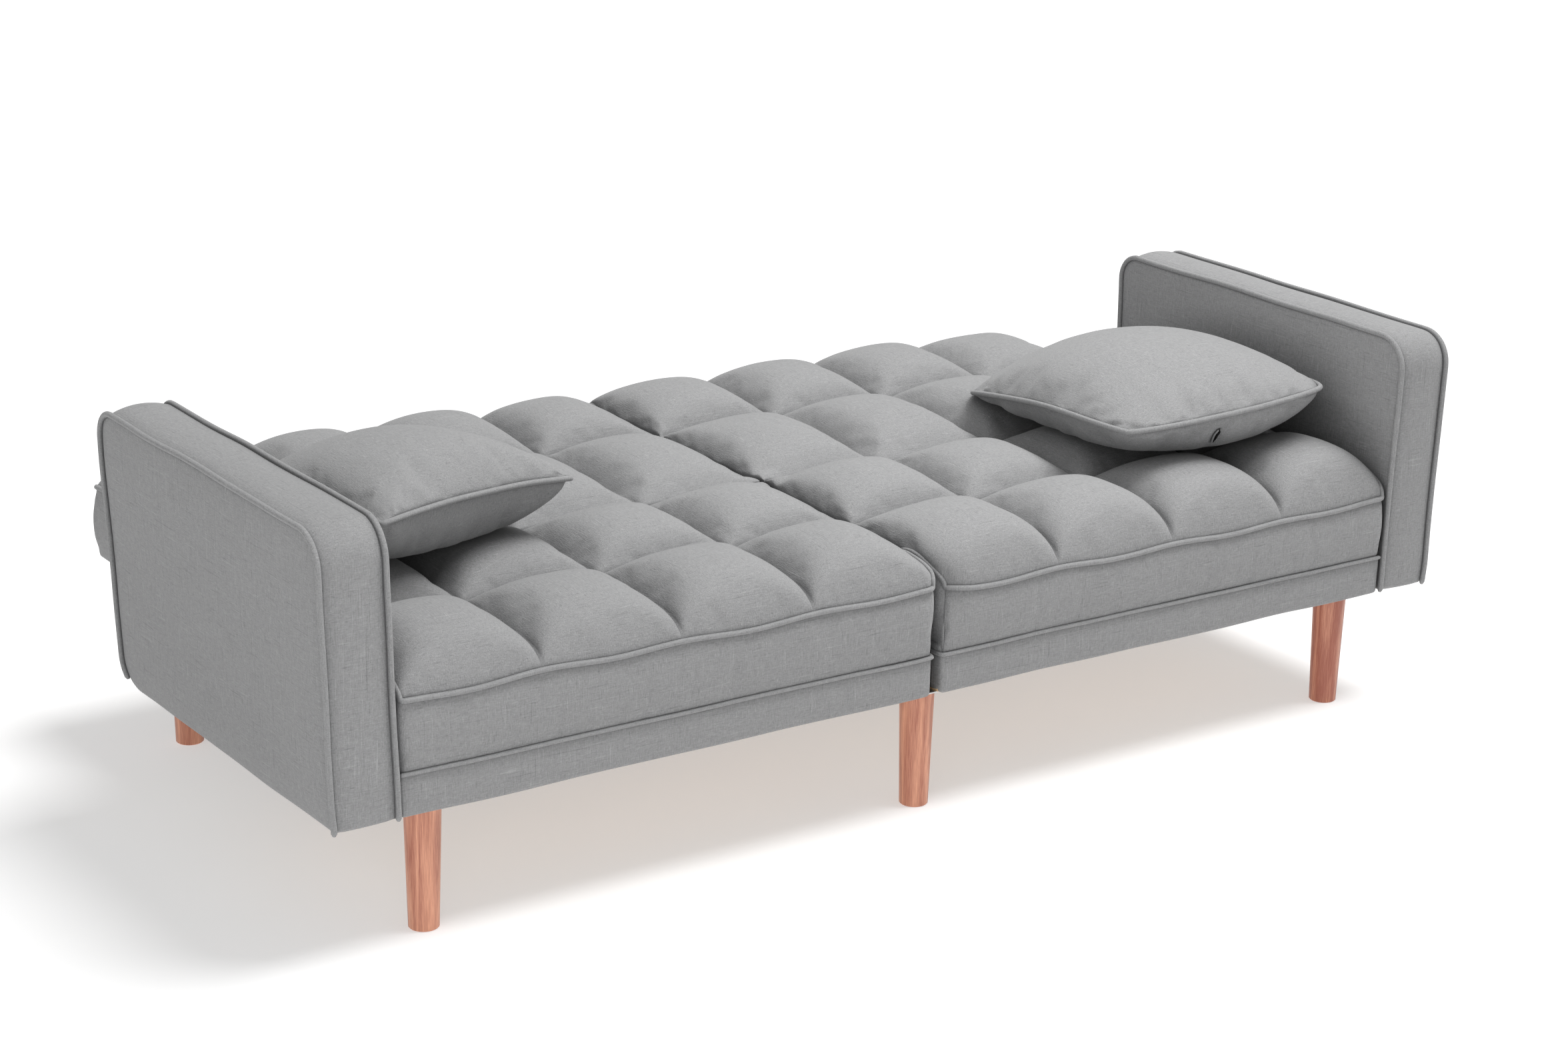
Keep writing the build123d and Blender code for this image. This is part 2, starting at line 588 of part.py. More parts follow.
# ---------------------------------------------------------------- throw pillows
RIGHT_PILLOW = Plane((629, FRONT + 306, 461)).rotated((-1.8, 0, 3.3))
LEFT_PILLOW = Plane((-633, FRONT + 397, 469)).rotated((-9.2, 0, 7.2))


def lens_bar(place, across, along, width, length, mode):
    """Add or intersect a long bar of lens-shaped section, centred on the pillow's plane."""
    start = place.origin - along * (length / 2 + 20)
    with BuildSketch(Plane(start, x_dir=across, z_dir=-along)) as lens:
        with BuildLine():
            ThreePointArc((-width / 2, 0), (0, PILLOW_THICK / 2), (width / 2, 0))
            ThreePointArc((width / 2, 0), (0, -PILLOW_THICK / 2), (-width / 2, 0))
        make_face()
    extrude(lens.sketch, amount=-(length + 40), mode=mode)


def pillow_at(place):
    """Add a pillow: the meeting of two lens-shaped bars, flat where it lies on the cushions."""
    lens_bar(place, place.x_dir, place.y_dir, PILLOW_LENGTH, PILLOW_WIDTH, Mode.ADD)
    lens_bar(place, place.y_dir, -place.x_dir, PILLOW_WIDTH, PILLOW_LENGTH, Mode.INTERSECT)
    box_between((-LENGTH, -DEPTH, 0), (LENGTH, DEPTH, CROWN_Z + REST_GAP), Mode.SUBTRACT)


with BuildPart() as right_pillow:
    pillow_at(RIGHT_PILLOW)

with BuildPart() as left_pillow:
    pillow_at(LEFT_PILLOW)

# The end of the zipper, on the underside just below the front seam of the right pillow.
ZIP_X = 22.0  # along the pillow, from its middle
ZIP_DOWN = 45.0  # how far in from the seam
half_width = PILLOW_WIDTH / 2
lens_radius = (half_width**2 + (PILLOW_THICK / 2) ** 2) / PILLOW_THICK
zip_angle = asin((half_width - ZIP_DOWN) / lens_radius)
zip_height = lens_radius - PILLOW_THICK / 2 - lens_radius * cos(zip_angle)
zip_centre = RIGHT_PILLOW.from_local_coords(Vector(ZIP_X, ZIP_DOWN - half_width, zip_height))
zip_normal = -sin(zip_angle) * RIGHT_PILLOW.y_dir - cos(zip_angle) * RIGHT_PILLOW.z_dir
with BuildPart() as right_pillow_zipper:
    with BuildSketch(Plane(zip_centre, x_dir=RIGHT_PILLOW.x_dir, z_dir=zip_normal).offset(0.2)):
        RectangleRounded(7, 16, 2)
        with Locations((0, 12)):
            RectangleRounded(4, 14, 1.5)
    extrude(amount=2.6)

export_piece(right_pillow, "right_pillow")
export_piece(left_pillow, "left_pillow")
export_piece(right_pillow_zipper, "right_pillow_zipper")
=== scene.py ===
import json
from math import atan2, cos, pi, radians, sin

import bmesh
import bpy
import numpy as np
from mathutils import Matrix, Vector, noise
from mathutils.bvhtree import BVHTree


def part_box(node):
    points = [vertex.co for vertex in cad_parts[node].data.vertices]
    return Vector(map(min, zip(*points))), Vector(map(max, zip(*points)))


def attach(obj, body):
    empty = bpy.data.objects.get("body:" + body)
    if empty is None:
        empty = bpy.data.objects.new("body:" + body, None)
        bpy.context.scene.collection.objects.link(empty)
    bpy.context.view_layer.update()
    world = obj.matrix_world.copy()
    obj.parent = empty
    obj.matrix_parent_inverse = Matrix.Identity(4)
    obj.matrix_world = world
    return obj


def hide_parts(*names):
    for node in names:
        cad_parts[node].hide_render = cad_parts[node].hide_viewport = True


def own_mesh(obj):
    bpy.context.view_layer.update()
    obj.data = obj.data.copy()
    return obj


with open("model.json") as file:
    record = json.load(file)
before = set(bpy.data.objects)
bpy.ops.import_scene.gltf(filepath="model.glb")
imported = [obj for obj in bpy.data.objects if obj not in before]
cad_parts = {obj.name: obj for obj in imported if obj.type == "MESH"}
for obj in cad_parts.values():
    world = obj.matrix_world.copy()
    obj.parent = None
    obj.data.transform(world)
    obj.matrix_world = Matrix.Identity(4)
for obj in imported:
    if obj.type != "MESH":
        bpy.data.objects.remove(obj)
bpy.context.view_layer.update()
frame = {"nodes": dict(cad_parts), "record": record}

# A split-back futon sofa bed in grey slub linen, lying flat as a bed. Metres, +Z up.
MM = 0.001
noise.seed_set(5)  # noise_vector's offsets come from a seed, which would be the time

# ---- places from the frame
SEAT_LOW, SEAT_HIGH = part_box("right_seat_cushion")
BACK_LOW, BACK_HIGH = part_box("right_back_cushion")
BAND_LOW, BAND_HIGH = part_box("right_front_band")
BACK_FRAME_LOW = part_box("right_back_frame")[0]
ARM_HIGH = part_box("right_arm_cover")[1]
INNER_X, OUTER_X = SEAT_LOW.x, SEAT_HIGH.x
FRONT_Y, REAR_Y = SEAT_LOW.y, BACK_HIGH.y
HINGE_Y = (SEAT_HIGH.y + BACK_LOW.y) / 2
REAR_EDGE_Y = REAR_Y - 8 * MM
INNER_EDGE = INNER_X - 5 * MM  # where the two halves meet, above the hinge
CROWN_Z = SEAT_HIGH.z + 9 * MM
COLUMNS = 4
PITCH = (OUTER_X + 5 * MM) / COLUMNS

# quilting
WELT_Z = SEAT_LOW.z + 98 * MM  # front top seam of the seat
SEAM_Z = CROWN_Z - 42 * MM  # sewn seams between the tiles
FOLD_Z = CROWN_Z - 43 * MM  # bottom of the valley between seat and back
REAR_WELT_Z = CROWN_Z - 50 * MM
FRONT_CREST_Y = FRONT_Y + 100 * MM
SEAT_SEAM_Y = FRONT_Y + 213 * MM
BACK_SEAM_Y = FRONT_Y + 725 * MM
WELT_END = 52 * MM  # the cushions' piping stops this far from the fold, clear of the other cushion
BOSS_LIFT = 6 * MM  # the fold passes over the middle hinge's boss
FOLD_SLIT = 1.6 * MM  # half the gap that shows at the fold
FOLD_RUN = 26 * MM  # how far from the fold the seams start to dip into it
ROLL_Y = 75 * MM  # depth of the rounded front of the seams
ROLL_Z = SEAM_Z - WELT_Z
REAR_ROLL_Y = 80 * MM
SEAM_EDGE = (0.26, 0.72)  # how a tile leaves a seam: its run and its rise at the first handle
# the right half bulges over the middle, and the left one falls away
CENTRE_EDGE = {1: (-0.03, 0.55), -1: (0.30, 0.40)}
FRONT_EDGE = (0.10, 0.66)
FOLD_EDGE = (0.32, 0.60)  # gentle, so that the back can fold up
REAR_EDGE = (0.18, 0.66)
CREST_FLAT = 0.50
SEAM_NOTCH = 3 * MM  # how sharply the stitches bite
TILE_CELLS = 14  # mesh cells from a seam to a crest
WALL_CELLS = 12
WELT_R = 3.9 * MM
DRIFT = 1.8 * MM  # how far sewn lines wander


# ---- shapes
def bezier(a, b, c, d, t):
    """Points of a cubic curve at the values t."""
    a, b, c, d = (np.array(p, float) for p in (a, b, c, d))
    t = t[:, None]
    return a * (1 - t) ** 3 + 3 * b * t * (1 - t) ** 2 + 3 * c * t**2 * (1 - t) + d * t**3


def rise(seam, crest, edge):
    """Places and heights, from 0 to 1, up a tile from its seam to its crest."""
    run = crest - seam
    handles = (seam, 0), (seam + edge[0] * run, edge[1]), (crest - CREST_FLAT * run, 1), (crest, 1)
    return bezier(*handles, np.linspace(0, 1, TILE_CELLS + 1))


def tile_section(seam, next_seam, edge=SEAM_EDGE, next_edge=SEAM_EDGE, crest=None):
    """The same right across a tile; the crest is halfway if it isn't given."""
    crest = (seam + next_seam) / 2 if crest is None else crest
    return np.concatenate([rise(seam, crest, edge), rise(next_seam, crest, next_edge)[-2::-1]])


def ring(grid):
    """The border of a grid of points, once round."""
    return np.concatenate([grid[:-1, 0], grid[-1, :-1], grid[:0:-1, -1], grid[0, :0:-1]])


def unit(vectors):
    """The vectors at length 1."""
    return vectors / np.maximum(np.linalg.norm(vectors, axis=-1, keepdims=True), 1e-9)


def outward(top, bottom):
    """Unit normals of the wall between two rings, pointing away from its middle."""
    along = np.roll(top, -1, 0) - np.roll(top, 1, 0)
    normal = unit(np.cross(along, bottom - top))
    away = np.einsum("ij,ij->i", normal, top - top.mean(0)).sum()
    return normal * np.sign(away)


def wall(top, bottom, cells, bulge, grooves=(0, 0)):
    """Grid of points from the ring top to the ring bottom, closed round, bulging out between grooves."""
    s = np.linspace(0, 1, cells + 1)[None, :, None]
    flat = top[:, None] * (1 - s) + bottom[:, None] * s
    swell = np.sin(pi * s) * np.asarray(bulge).reshape(-1, 1, 1)
    swell[:, 1] -= grooves[0]
    swell[:, -2] -= grooves[1]
    grid = flat + outward(top, bottom)[:, None] * swell
    return np.concatenate([grid, grid[:1]])


def weld(grids):
    """Points and quads of one surface made of grids whose borders meet."""
    points = np.concatenate([g.reshape(-1, 3) for g in grids])
    _, first, index = np.unique(np.round(points, 6), axis=0, return_index=True, return_inverse=True)
    index = index.reshape(-1)
    quads, start = [], 0
    for g in grids:
        n = np.arange(start, start + g.shape[0] * g.shape[1]).reshape(g.shape[:2])
        quads.append(np.stack([n[:-1, :-1], n[1:, :-1], n[1:, 1:], n[:-1, 1:]], -1).reshape(-1, 4))
        start += g.shape[0] * g.shape[1]
    faces = index[np.concatenate(quads)]
    return points[first], [f for f in faces.tolist() if len(set(f)) > 2], index


def add_object(name, data):
    obj = bpy.data.objects.new(name, data)
    bpy.context.scene.collection.objects.link(obj)
    return obj


def make_mesh(name, points, faces):
    """A smooth mesh object, with its normals outside."""
    mesh = bpy.data.meshes.new(name)
    mesh.from_pydata(np.asarray(points).tolist(), [], [list(dict.fromkeys(f)) for f in faces])
    mesh.validate()
    mesh.update()
    work = bmesh.new()
    work.from_mesh(mesh)
    bmesh.ops.recalc_face_normals(work, faces=work.faces)
    work.to_mesh(mesh)
    work.free()
    mesh.shade_smooth()
    return add_object(name, mesh)


def drift(points, amount=DRIFT, size=0.13, seed=0.0):
    """Points moved a little by one smooth field, the same for pieces that are sewn together."""
    shift = Vector((seed, 2 * seed, -seed))
    moved = [noise.noise_vector(Vector(p) / size + shift) for p in points.reshape(-1, 3)]
    return points + amount * np.array(moved).reshape(points.shape)


def evenly(path, step=None, cells=None):
    """The path, in two or three dimensions, cut into even steps."""
    lengths = np.concatenate([[0], np.cumsum(np.linalg.norm(np.diff(path, axis=0), axis=1))])
    cells = cells or max(8, int(round(lengths[-1] / step)))
    at = np.linspace(0, lengths[-1], cells + 1)
    return np.stack([np.interp(at, lengths, column) for column in path.T], 1)


def tube(name, path, radius, closed=False, step=4 * MM):
    """A round cord along a path; an open one narrows at its ends."""
    if closed:
        path = evenly(np.concatenate([path, path[:1]]), step)[:-1]
        tangent = unit(np.roll(path, -1, 0) - np.roll(path, 1, 0))
    else:
        path = evenly(path, step)
        tangent = unit(np.gradient(path, axis=0))
    radii = np.full(len(path), radius)
    if not closed:
        radii[0] = radii[-1] = radius * 0.55
    side = np.cross(tangent[0], (0.3, 0.2, 0.93))
    sides, rings = 10, []
    turn = 2 * pi * np.arange(sides) / sides
    for point, ahead, r in zip(path, tangent, radii):
        side = unit(side - ahead * side.dot(ahead))
        up = np.cross(ahead, side)
        rings.append(point + r * (np.outer(np.cos(turn), side) + np.outer(np.sin(turn), up)))
    points = np.concatenate(rings)
    n = len(path)
    faces = []
    for i in range(n if closed else n - 1):
        a, b = i * sides, ((i + 1) % n) * sides
        faces += [[a + k, a + (k + 1) % sides, b + (k + 1) % sides, b + k] for k in range(sides)]
    if not closed:
        faces.append(list(range(sides)))
        faces.append([(n - 1) * sides + k for k in range(sides)])
    return make_mesh(name, points, faces)


# ---- materials
def new_material(name, roughness):
    """A material with its node tree, its shader and the object's coordinates."""
    material = bpy.data.materials.new(name)
    material.use_nodes = True
    tree = material.node_tree
    shader = tree.nodes["Principled BSDF"]
    shader.inputs["Roughness"].default_value = roughness
    where = tree.nodes.new("ShaderNodeTexCoord").outputs["Object"]
    return material, tree, shader, where


def link(tree, source, target):
    tree.links.new(source, target)


def math(tree, operation, a, b=None):
    """Output of a Math node; a and b are sockets or numbers."""
    node = tree.nodes.new("ShaderNodeMath")
    node.operation = operation
    for socket, value in zip(node.inputs, (a, b)):
        if hasattr(value, "is_output"):
            link(tree, value, socket)
        elif value is not None:
            socket.default_value = value
    return node.outputs[0]


def scaled(tree, vector, scale):
    """The coordinates times a scale for each axis."""
    node = tree.nodes.new("ShaderNodeVectorMath")
    node.operation = "MULTIPLY"
    link(tree, vector, node.inputs[0])
    node.inputs[1].default_value = scale
    return node.outputs[0]


def noise_at(tree, vector, scale, detail=2.0, roughness=0.5):
    """Noise texture value at scaled coordinates."""
    node = tree.nodes.new("ShaderNodeTexNoise")
    node.inputs["Scale"].default_value = 1.0
    node.inputs["Detail"].default_value = detail
    node.inputs["Roughness"].default_value = roughness
    link(tree, scaled(tree, vector, scale), node.inputs["Vector"])
    return node.outputs["Fac"]


def spread(tree, value, low, high, out_low=0.0, out_high=1.0):
    """A value mapped from one range to another, clamped."""
    node = tree.nodes.new("ShaderNodeMapRange")
    link(tree, value, node.inputs["Value"])
    for socket, number in zip(("From Min", "From Max", "To Min", "To Max"), (low, high, out_low, out_high)):
        node.inputs[socket].default_value = number
    return node.outputs["Result"]


def paint(tree, shader, factor, dark, light):
    """Give the shader a colour between two, by a factor."""
    node = tree.nodes.new("ShaderNodeMix")
    node.data_type = "RGBA"
    link(tree, factor, node.inputs["Factor"])
    node.inputs["A"].default_value = (*dark, 1)
    node.inputs["B"].default_value = (*light, 1)
    link(tree, node.outputs["Result"], shader.inputs["Base Color"])


def bump(tree, shader, height, distance, strength=1.0):
    """Connect a height to the shader's normal."""
    node = tree.nodes.new("ShaderNodeBump")
    node.inputs["Distance"].default_value = distance
    node.inputs["Strength"].default_value = strength
    link(tree, height, node.inputs["Height"])
    link(tree, node.outputs["Normal"], shader.inputs["Normal"])


SLUB_LENGTH = 60 * MM
SLUB_WIDTH = 1.9 * MM
YARN = 1.1 * MM
CREASE_SHADE_REACH, VALLEY_SHADE_REACH = 13 * MM, 75 * MM  # reach of the painted shade in the linen's narrow creases and in the wide valleys between tiles


def yarn_direction(tree, where, across, seed):
    """Slubs and yarns that run along one axis of the cloth, as (slub, yarn) values."""
    long_axis = [1 / SLUB_WIDTH] * 3
    long_axis[across] = 1 / SLUB_LENGTH
    moved = tree.nodes.new("ShaderNodeVectorMath")
    moved.operation = "ADD"
    link(tree, where, moved.inputs[0])
    moved.inputs[1].default_value = (seed, seed * 0.7, -seed)
    slub = noise_at(tree, moved.outputs[0], long_axis, detail=1.0)
    yarn_axis = [1 / YARN] * 3
    yarn_axis[across] = 1 / (7 * YARN)
    yarn = noise_at(tree, moved.outputs[0], yarn_axis, detail=1.0)
    return slub, yarn


def hollows(tree, reach):
    """How open the surface is, from 0 in a deep hollow to 1, looking as far as reach."""
    node = tree.nodes.new("ShaderNodeAmbientOcclusion")
    node.samples = 6
    node.inputs["Distance"].default_value = reach
    return node.outputs["AO"]


def linen_material():
    """Grey slub linen: fine yarns both ways, thick and thin slubs, soft tone changes, and painted shade in
    creases and valleys.
    """
    material, tree, shader, where = new_material("linen", 0.92)
    shader.inputs["Sheen Weight"].default_value = 0.18
    shader.inputs["Sheen Roughness"].default_value = 0.45
    shader.inputs["Specular IOR Level"].default_value = 0.18
    normal = tree.nodes.new("ShaderNodeVectorMath")
    normal.operation = "ABSOLUTE"
    link(tree, where.node.outputs["Normal"], normal.inputs[0])
    parts = tree.nodes.new("ShaderNodeSeparateXYZ")
    link(tree, normal.outputs[0], parts.inputs[0])
    tone, height = None, None
    for axis in range(3):
        slub, yarn = yarn_direction(tree, where, axis, 3.1 * (axis + 1))
        # yarns that run along this axis show where the surface isn't square to it
        faces = math(tree, "SUBTRACT", 1.0, math(tree, "POWER", parts.outputs[axis], 3.0))
        light = spread(tree, slub, 0.64, 0.78)
        dark = spread(tree, slub, 0.36, 0.22)
        fleck = math(tree, "SUBTRACT", light, dark)
        fine = math(tree, "SUBTRACT", yarn, 0.5)
        one_tone = math(tree, "ADD", math(tree, "MULTIPLY", fleck, 0.20), math(tree, "MULTIPLY", fine, 0.42))
        one_tone = math(tree, "MULTIPLY", one_tone, faces)
        one_height = math(tree, "ADD", math(tree, "MULTIPLY", light, 0.5), fine)
        one_height = math(tree, "MULTIPLY", one_height, faces)
        tone = one_tone if tone is None else math(tree, "ADD", tone, one_tone)
        height = one_height if height is None else math(tree, "ADD", height, one_height)
    grain = noise_at(tree, where, [650] * 3, detail=1.0)
    tone = math(tree, "ADD", tone, math(tree, "MULTIPLY", math(tree, "SUBTRACT", grain, 0.5), 0.30))
    # painted shade: the cloth's colour is darkened where the surface is closed in, in narrow creases and in
    # the wide valleys between tiles
    crease_shade = spread(tree, hollows(tree, CREASE_SHADE_REACH), 0.10, 0.85, -0.36, 0.0)
    valley_shade = spread(tree, hollows(tree, VALLEY_SHADE_REACH), 0.40, 0.95, -0.40, 0.0)
    shade = math(tree, "ADD", crease_shade, valley_shade)
    mixed = spread(tree, math(tree, "ADD", tone, shade), -0.5, 0.5)
    paint(tree, shader, mixed, (0.150, 0.151, 0.153), (0.415, 0.415, 0.417))
    bump(tree, shader, height, 0.45 * MM, 0.75)
    return material


def wood_material(name, dark, light, roughness, along, ring_scale, grain, coat=0.0, painted_shade_right=0.0):
    """Wood with growth rings stretched along one axis and fine pores; the last argument paints shade on it,
    darker towards +X.
    """
    material, tree, shader, where = new_material(name, roughness)
    shader.inputs["Coat Weight"].default_value = coat
    shader.inputs["Coat Roughness"].default_value = 0.25
    stretch = [ring_scale] * 3
    stretch[along] = ring_scale / 14
    bend = noise_at(tree, where, [s * 0.45 for s in stretch], detail=2.0)
    rings = noise_at(tree, where, stretch, detail=2.0)
    wavy = math(tree, "SINE", math(tree, "MULTIPLY", math(tree, "ADD", rings, bend), 34.0))
    pores_scale = [grain] * 3
    pores_scale[along] = grain / 40
    pores = noise_at(tree, where, pores_scale, detail=3.0, roughness=0.6)
    tone = math(tree, "ADD", math(tree, "MULTIPLY", wavy, 0.16), math(tree, "MULTIPLY", pores, 1.1))
    # painted shade: the wood grows darker towards +X, so the right-hand legs look shaded
    if painted_shade_right:
        across = tree.nodes.new("ShaderNodeSeparateXYZ")
        link(tree, where, across.inputs[0])
        tone = math(tree, "ADD", tone, spread(tree, across.outputs[0], 0.2, 0.8, 0.0, -painted_shade_right))
    paint(tree, shader, spread(tree, tone, 0.15, 0.95), dark, light)
    gloss = spread(tree, pores, 0.3, 0.7, roughness + 0.1, roughness - 0.05)
    link(tree, gloss, shader.inputs["Roughness"])
    bump(tree, shader, pores, 0.25 * MM, 0.35)
    return material


def plywood_material():
    """Plywood: long face grain, and thin plies that show at the edges."""
    material, tree, shader, where = new_material("plywood", 0.7)
    grain = noise_at(tree, where, (14, 160, 400), detail=3.0)
    plies = math(tree, "SINE", math(tree, "MULTIPLY", noise_at(tree, where, (2, 2, 420), detail=0.0), 25.0))
    tone = math(tree, "ADD", math(tree, "MULTIPLY", grain, 0.8), math(tree, "MULTIPLY", plies, 0.12))
    paint(tree, shader, spread(tree, tone, 0.1, 0.8), (0.36, 0.21, 0.10), (0.66, 0.47, 0.29))
    bump(tree, shader, grain, 0.2 * MM, 0.3)
    return material


def steel_material(name, dark, light, roughness, metallic, scale, specular=0.5):
    """Plated or painted steel, or moulded plastic, with faint clouding and a fine grain."""
    material, tree, shader, where = new_material(name, roughness)
    shader.inputs["Metallic"].default_value = metallic
    shader.inputs["Specular IOR Level"].default_value = specular
    cloud = noise_at(tree, where, [scale] * 3, detail=4.0)
    fine = noise_at(tree, where, [2500] * 3, detail=2.0)
    paint(tree, shader, spread(tree, cloud, 0.3, 0.7), dark, light)
    gloss = spread(tree, cloud, 0.3, 0.7, roughness - 0.06, roughness + 0.1)
    link(tree, gloss, shader.inputs["Roughness"])
    bump(tree, shader, fine, 0.05 * MM, 0.3)
    return material


def dust_cloth_material():
    """Black non-woven cloth with pressed fibres."""
    material, tree, shader, where = new_material("dust_cloth", 0.95)
    fibres = noise_at(tree, where, [700] * 3, detail=4.0, roughness=0.7)
    paint(tree, shader, spread(tree, fibres, 0.3, 0.7), (0.008, 0.008, 0.009), (0.035, 0.035, 0.038))
    bump(tree, shader, fibres, 0.3 * MM, 0.6)
    return material


# two tones, roughness, metallic, clouds to a metre, and the specular level where it isn't the usual one
HARD_FINISHES = {
    "black_steel": ((0.012, 0.012, 0.013), (0.03, 0.03, 0.032), 0.45, 0.0, 60),
    "zinc_steel": ((0.42, 0.42, 0.41), (0.68, 0.68, 0.67), 0.38, 1.0, 90),
    "glide_plastic": ((0.02,) * 3, (0.045,) * 3, 0.5, 0.0, 200),
    "zipper_black": ((0.005,) * 3, (0.012,) * 3, 0.6, 0.0, 300, 0.06),
}
LEG_TONES = (0.36, 0.105, 0.062), (0.83, 0.40, 0.25)
PINE_TONES = (0.50, 0.30, 0.14), (0.80, 0.60, 0.38)
MATERIALS = {name: steel_material(name, *values) for name, values in HARD_FINISHES.items()} | {
    "linen": linen_material(),
    # the legs get painted shade, darker towards +X
    "leg_wood": wood_material("leg_wood", *LEG_TONES, 0.42, 2, 26, 900, coat=0.25, painted_shade_right=0.26),
    "pine": wood_material("pine", *PINE_TONES, 0.65, 0, 18, 600),
    "plywood": plywood_material(),
    "dust_cloth": dust_cloth_material(),
}


def dress_cad_nodes():
    """Give each CAD node the material of its slot in the record."""
    for row in frame["record"]["subparts"]:
        mesh = frame["nodes"][row["node"]].data
        mesh.materials.clear()
        mesh.materials.append(MATERIALS[row["material_slot"]])


def place_piece(obj, body, slot="linen", replaces=()):
    """Finish a piece: its material, its body, and the CAD nodes it replaces, which are hidden."""
    if not obj.data.materials:
        obj.data.materials.append(MATERIALS[slot])
    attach(obj, body)
    if replaces:
        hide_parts(*replaces)


# ---- inflating by cloth simulation
SIM_FRAMES = 20
CLOTH = {
    "quality": 6,
    "mass": 0.35,
    "tension_stiffness": 18,
    "compression_stiffness": 18,
    "shear_stiffness": 8,
    "bending_stiffness": 0.6,
    "use_pressure": True,
    "uniform_pressure_force": 4.0,
    "vertex_group_mass": "pin",
}


def add_cloth(obj, pinned, stretch):
    """Cloth under pressure, held at its pinned points, with a little spare cloth for wrinkles."""
    group = obj.vertex_groups.new(name="pin")
    group.add([int(i) for i in np.flatnonzero(pinned)], 1.0, "REPLACE")
    cloth = obj.modifiers.new("inflate", "CLOTH")
    for setting, value in CLOTH.items():
        setattr(cloth.settings, setting, value)
    cloth.settings.shrink_min = -stretch
    cloth.settings.effector_weights.gravity = 0
    cloth.collision_settings.use_collision = False
    cloth.point_cache.frame_start = 1
    cloth.point_cache.frame_end = SIM_FRAMES


def capped(rest, moved, cap):
    """Moves limited smoothly to cap, which is one length or one for each point."""
    shift = moved - rest
    length = np.linalg.norm(shift, axis=1)
    cap = np.broadcast_to(cap, length.shape)
    keep = cap * np.tanh(length / np.maximum(cap, 1e-9)) / np.maximum(length, 1e-9)
    return rest + shift * keep[:, None]


def coordinates(mesh):
    flat = np.zeros(len(mesh.vertices) * 3)
    mesh.vertices.foreach_get("co", flat)
    return flat.reshape(-1, 3)


def inflate(pieces):
    """Run the cloth of all pieces together and apply it; pieces are (object, pinned, stretch, cap)."""
    for obj, pinned, stretch, _ in pieces:
        add_cloth(obj, pinned, stretch)
    for number in range(1, SIM_FRAMES + 1):
        bpy.context.scene.frame_set(number)
    graph = bpy.context.evaluated_depsgraph_get()
    for obj, _, _, cap in pieces:
        moved = coordinates(obj.evaluated_get(graph).data)
        final = capped(coordinates(obj.data), moved, cap)
        obj.modifiers.remove(obj.modifiers["inflate"])
        obj.vertex_groups.clear()
        obj.data.vertices.foreach_set("co", final.reshape(-1))
        obj.data.update()
    bpy.context.scene.frame_set(1)


def subdivide(obj):
    smooth = obj.modifiers.new("subdivide", "SUBSURF")
    smooth.levels = smooth.render_levels = 1


def crease(obj, seam):
    """Keep the sewn lines sharp under the subdivision."""
    mesh = obj.data
    layer = mesh.attributes.new("crease_edge", "FLOAT", "EDGE")
    ends = np.zeros(len(mesh.edges) * 2, int)
    mesh.edges.foreach_get("vertices", ends)
    both = seam[ends.reshape(-1, 2)].all(1)
    layer.data.foreach_set("value", np.where(both, 0.9, 0.0))


# ---- quilted cushions
def column_sections(side, column):
    """Places along X and heights from 0 to 1 across one column of tiles."""
    low = INNER_EDGE if column == 0 else column * PITCH
    high = OUTER_X if column == COLUMNS - 1 else (column + 1) * PITCH
    edge = CENTRE_EDGE[side] if column == 0 else SEAM_EDGE
    return tile_section(low, high, edge)


def joined(sections):
    """Places and heights over several tiles, with seams shared between neighbours."""
    return np.concatenate([s if k == 0 else s[1:] for k, s in enumerate(sections)]).T


def columns(side):
    """The same over all columns of one half."""
    return joined([column_sections(side, column) for column in range(COLUMNS)])


def seat_rows():
    fold_y = HINGE_Y - FOLD_SLIT
    front = tile_section(FRONT_Y, SEAT_SEAM_Y, FRONT_EDGE, crest=FRONT_CREST_Y)
    return joined([front, tile_section(SEAT_SEAM_Y, fold_y, next_edge=FOLD_EDGE)])


def back_rows():
    fold_y = HINGE_Y + FOLD_SLIT
    front = tile_section(fold_y, BACK_SEAM_Y, FOLD_EDGE)
    return joined([front, tile_section(BACK_SEAM_Y, REAR_EDGE_Y, next_edge=REAR_EDGE)])


def smooth_step(value, low, high):
    t = np.clip((value - low) / (high - low), 0, 1)
    return t * t * (3 - 2 * t)


def seat_low(y):
    """Height of the sewn seams of the seat along y."""
    front = np.clip((y - FRONT_Y) / ROLL_Y, 0, 1)
    roll = WELT_Z + ROLL_Z * np.sqrt(1 - (1 - front) ** 2)
    return roll - (SEAM_Z - FOLD_Z) * smooth_step(y, HINGE_Y - FOLD_RUN, HINGE_Y)


def back_low(y):
    """Height of the sewn seams of the back along y."""
    fold = (SEAM_Z - FOLD_Z) * (1 - smooth_step(y, HINGE_Y, HINGE_Y + FOLD_RUN))
    rear = np.clip((REAR_EDGE_Y - y) / REAR_ROLL_Y, 0, 1)
    return REAR_WELT_Z + (SEAM_Z - REAR_WELT_Z) * np.sqrt(1 - (1 - rear) ** 2) - fold


WELT_DROP = {1: 9 * MM, -1: 0}  # the right half's front welt is sewn lower
WELT_LIFT, WELT_WANDER = 2.0 * MM, 2.2 * MM


def welt_wave(x, side):
    """How far the front welt wanders up and down: it lifts a little at each seam's end."""
    lift = WELT_LIFT * np.cos(2 * pi * x / PITCH)
    slow = np.array([noise.noise(Vector((v / 0.19, 4.2, 1.7))) for v in x])
    return lift + WELT_WANDER * slow - WELT_DROP[side]


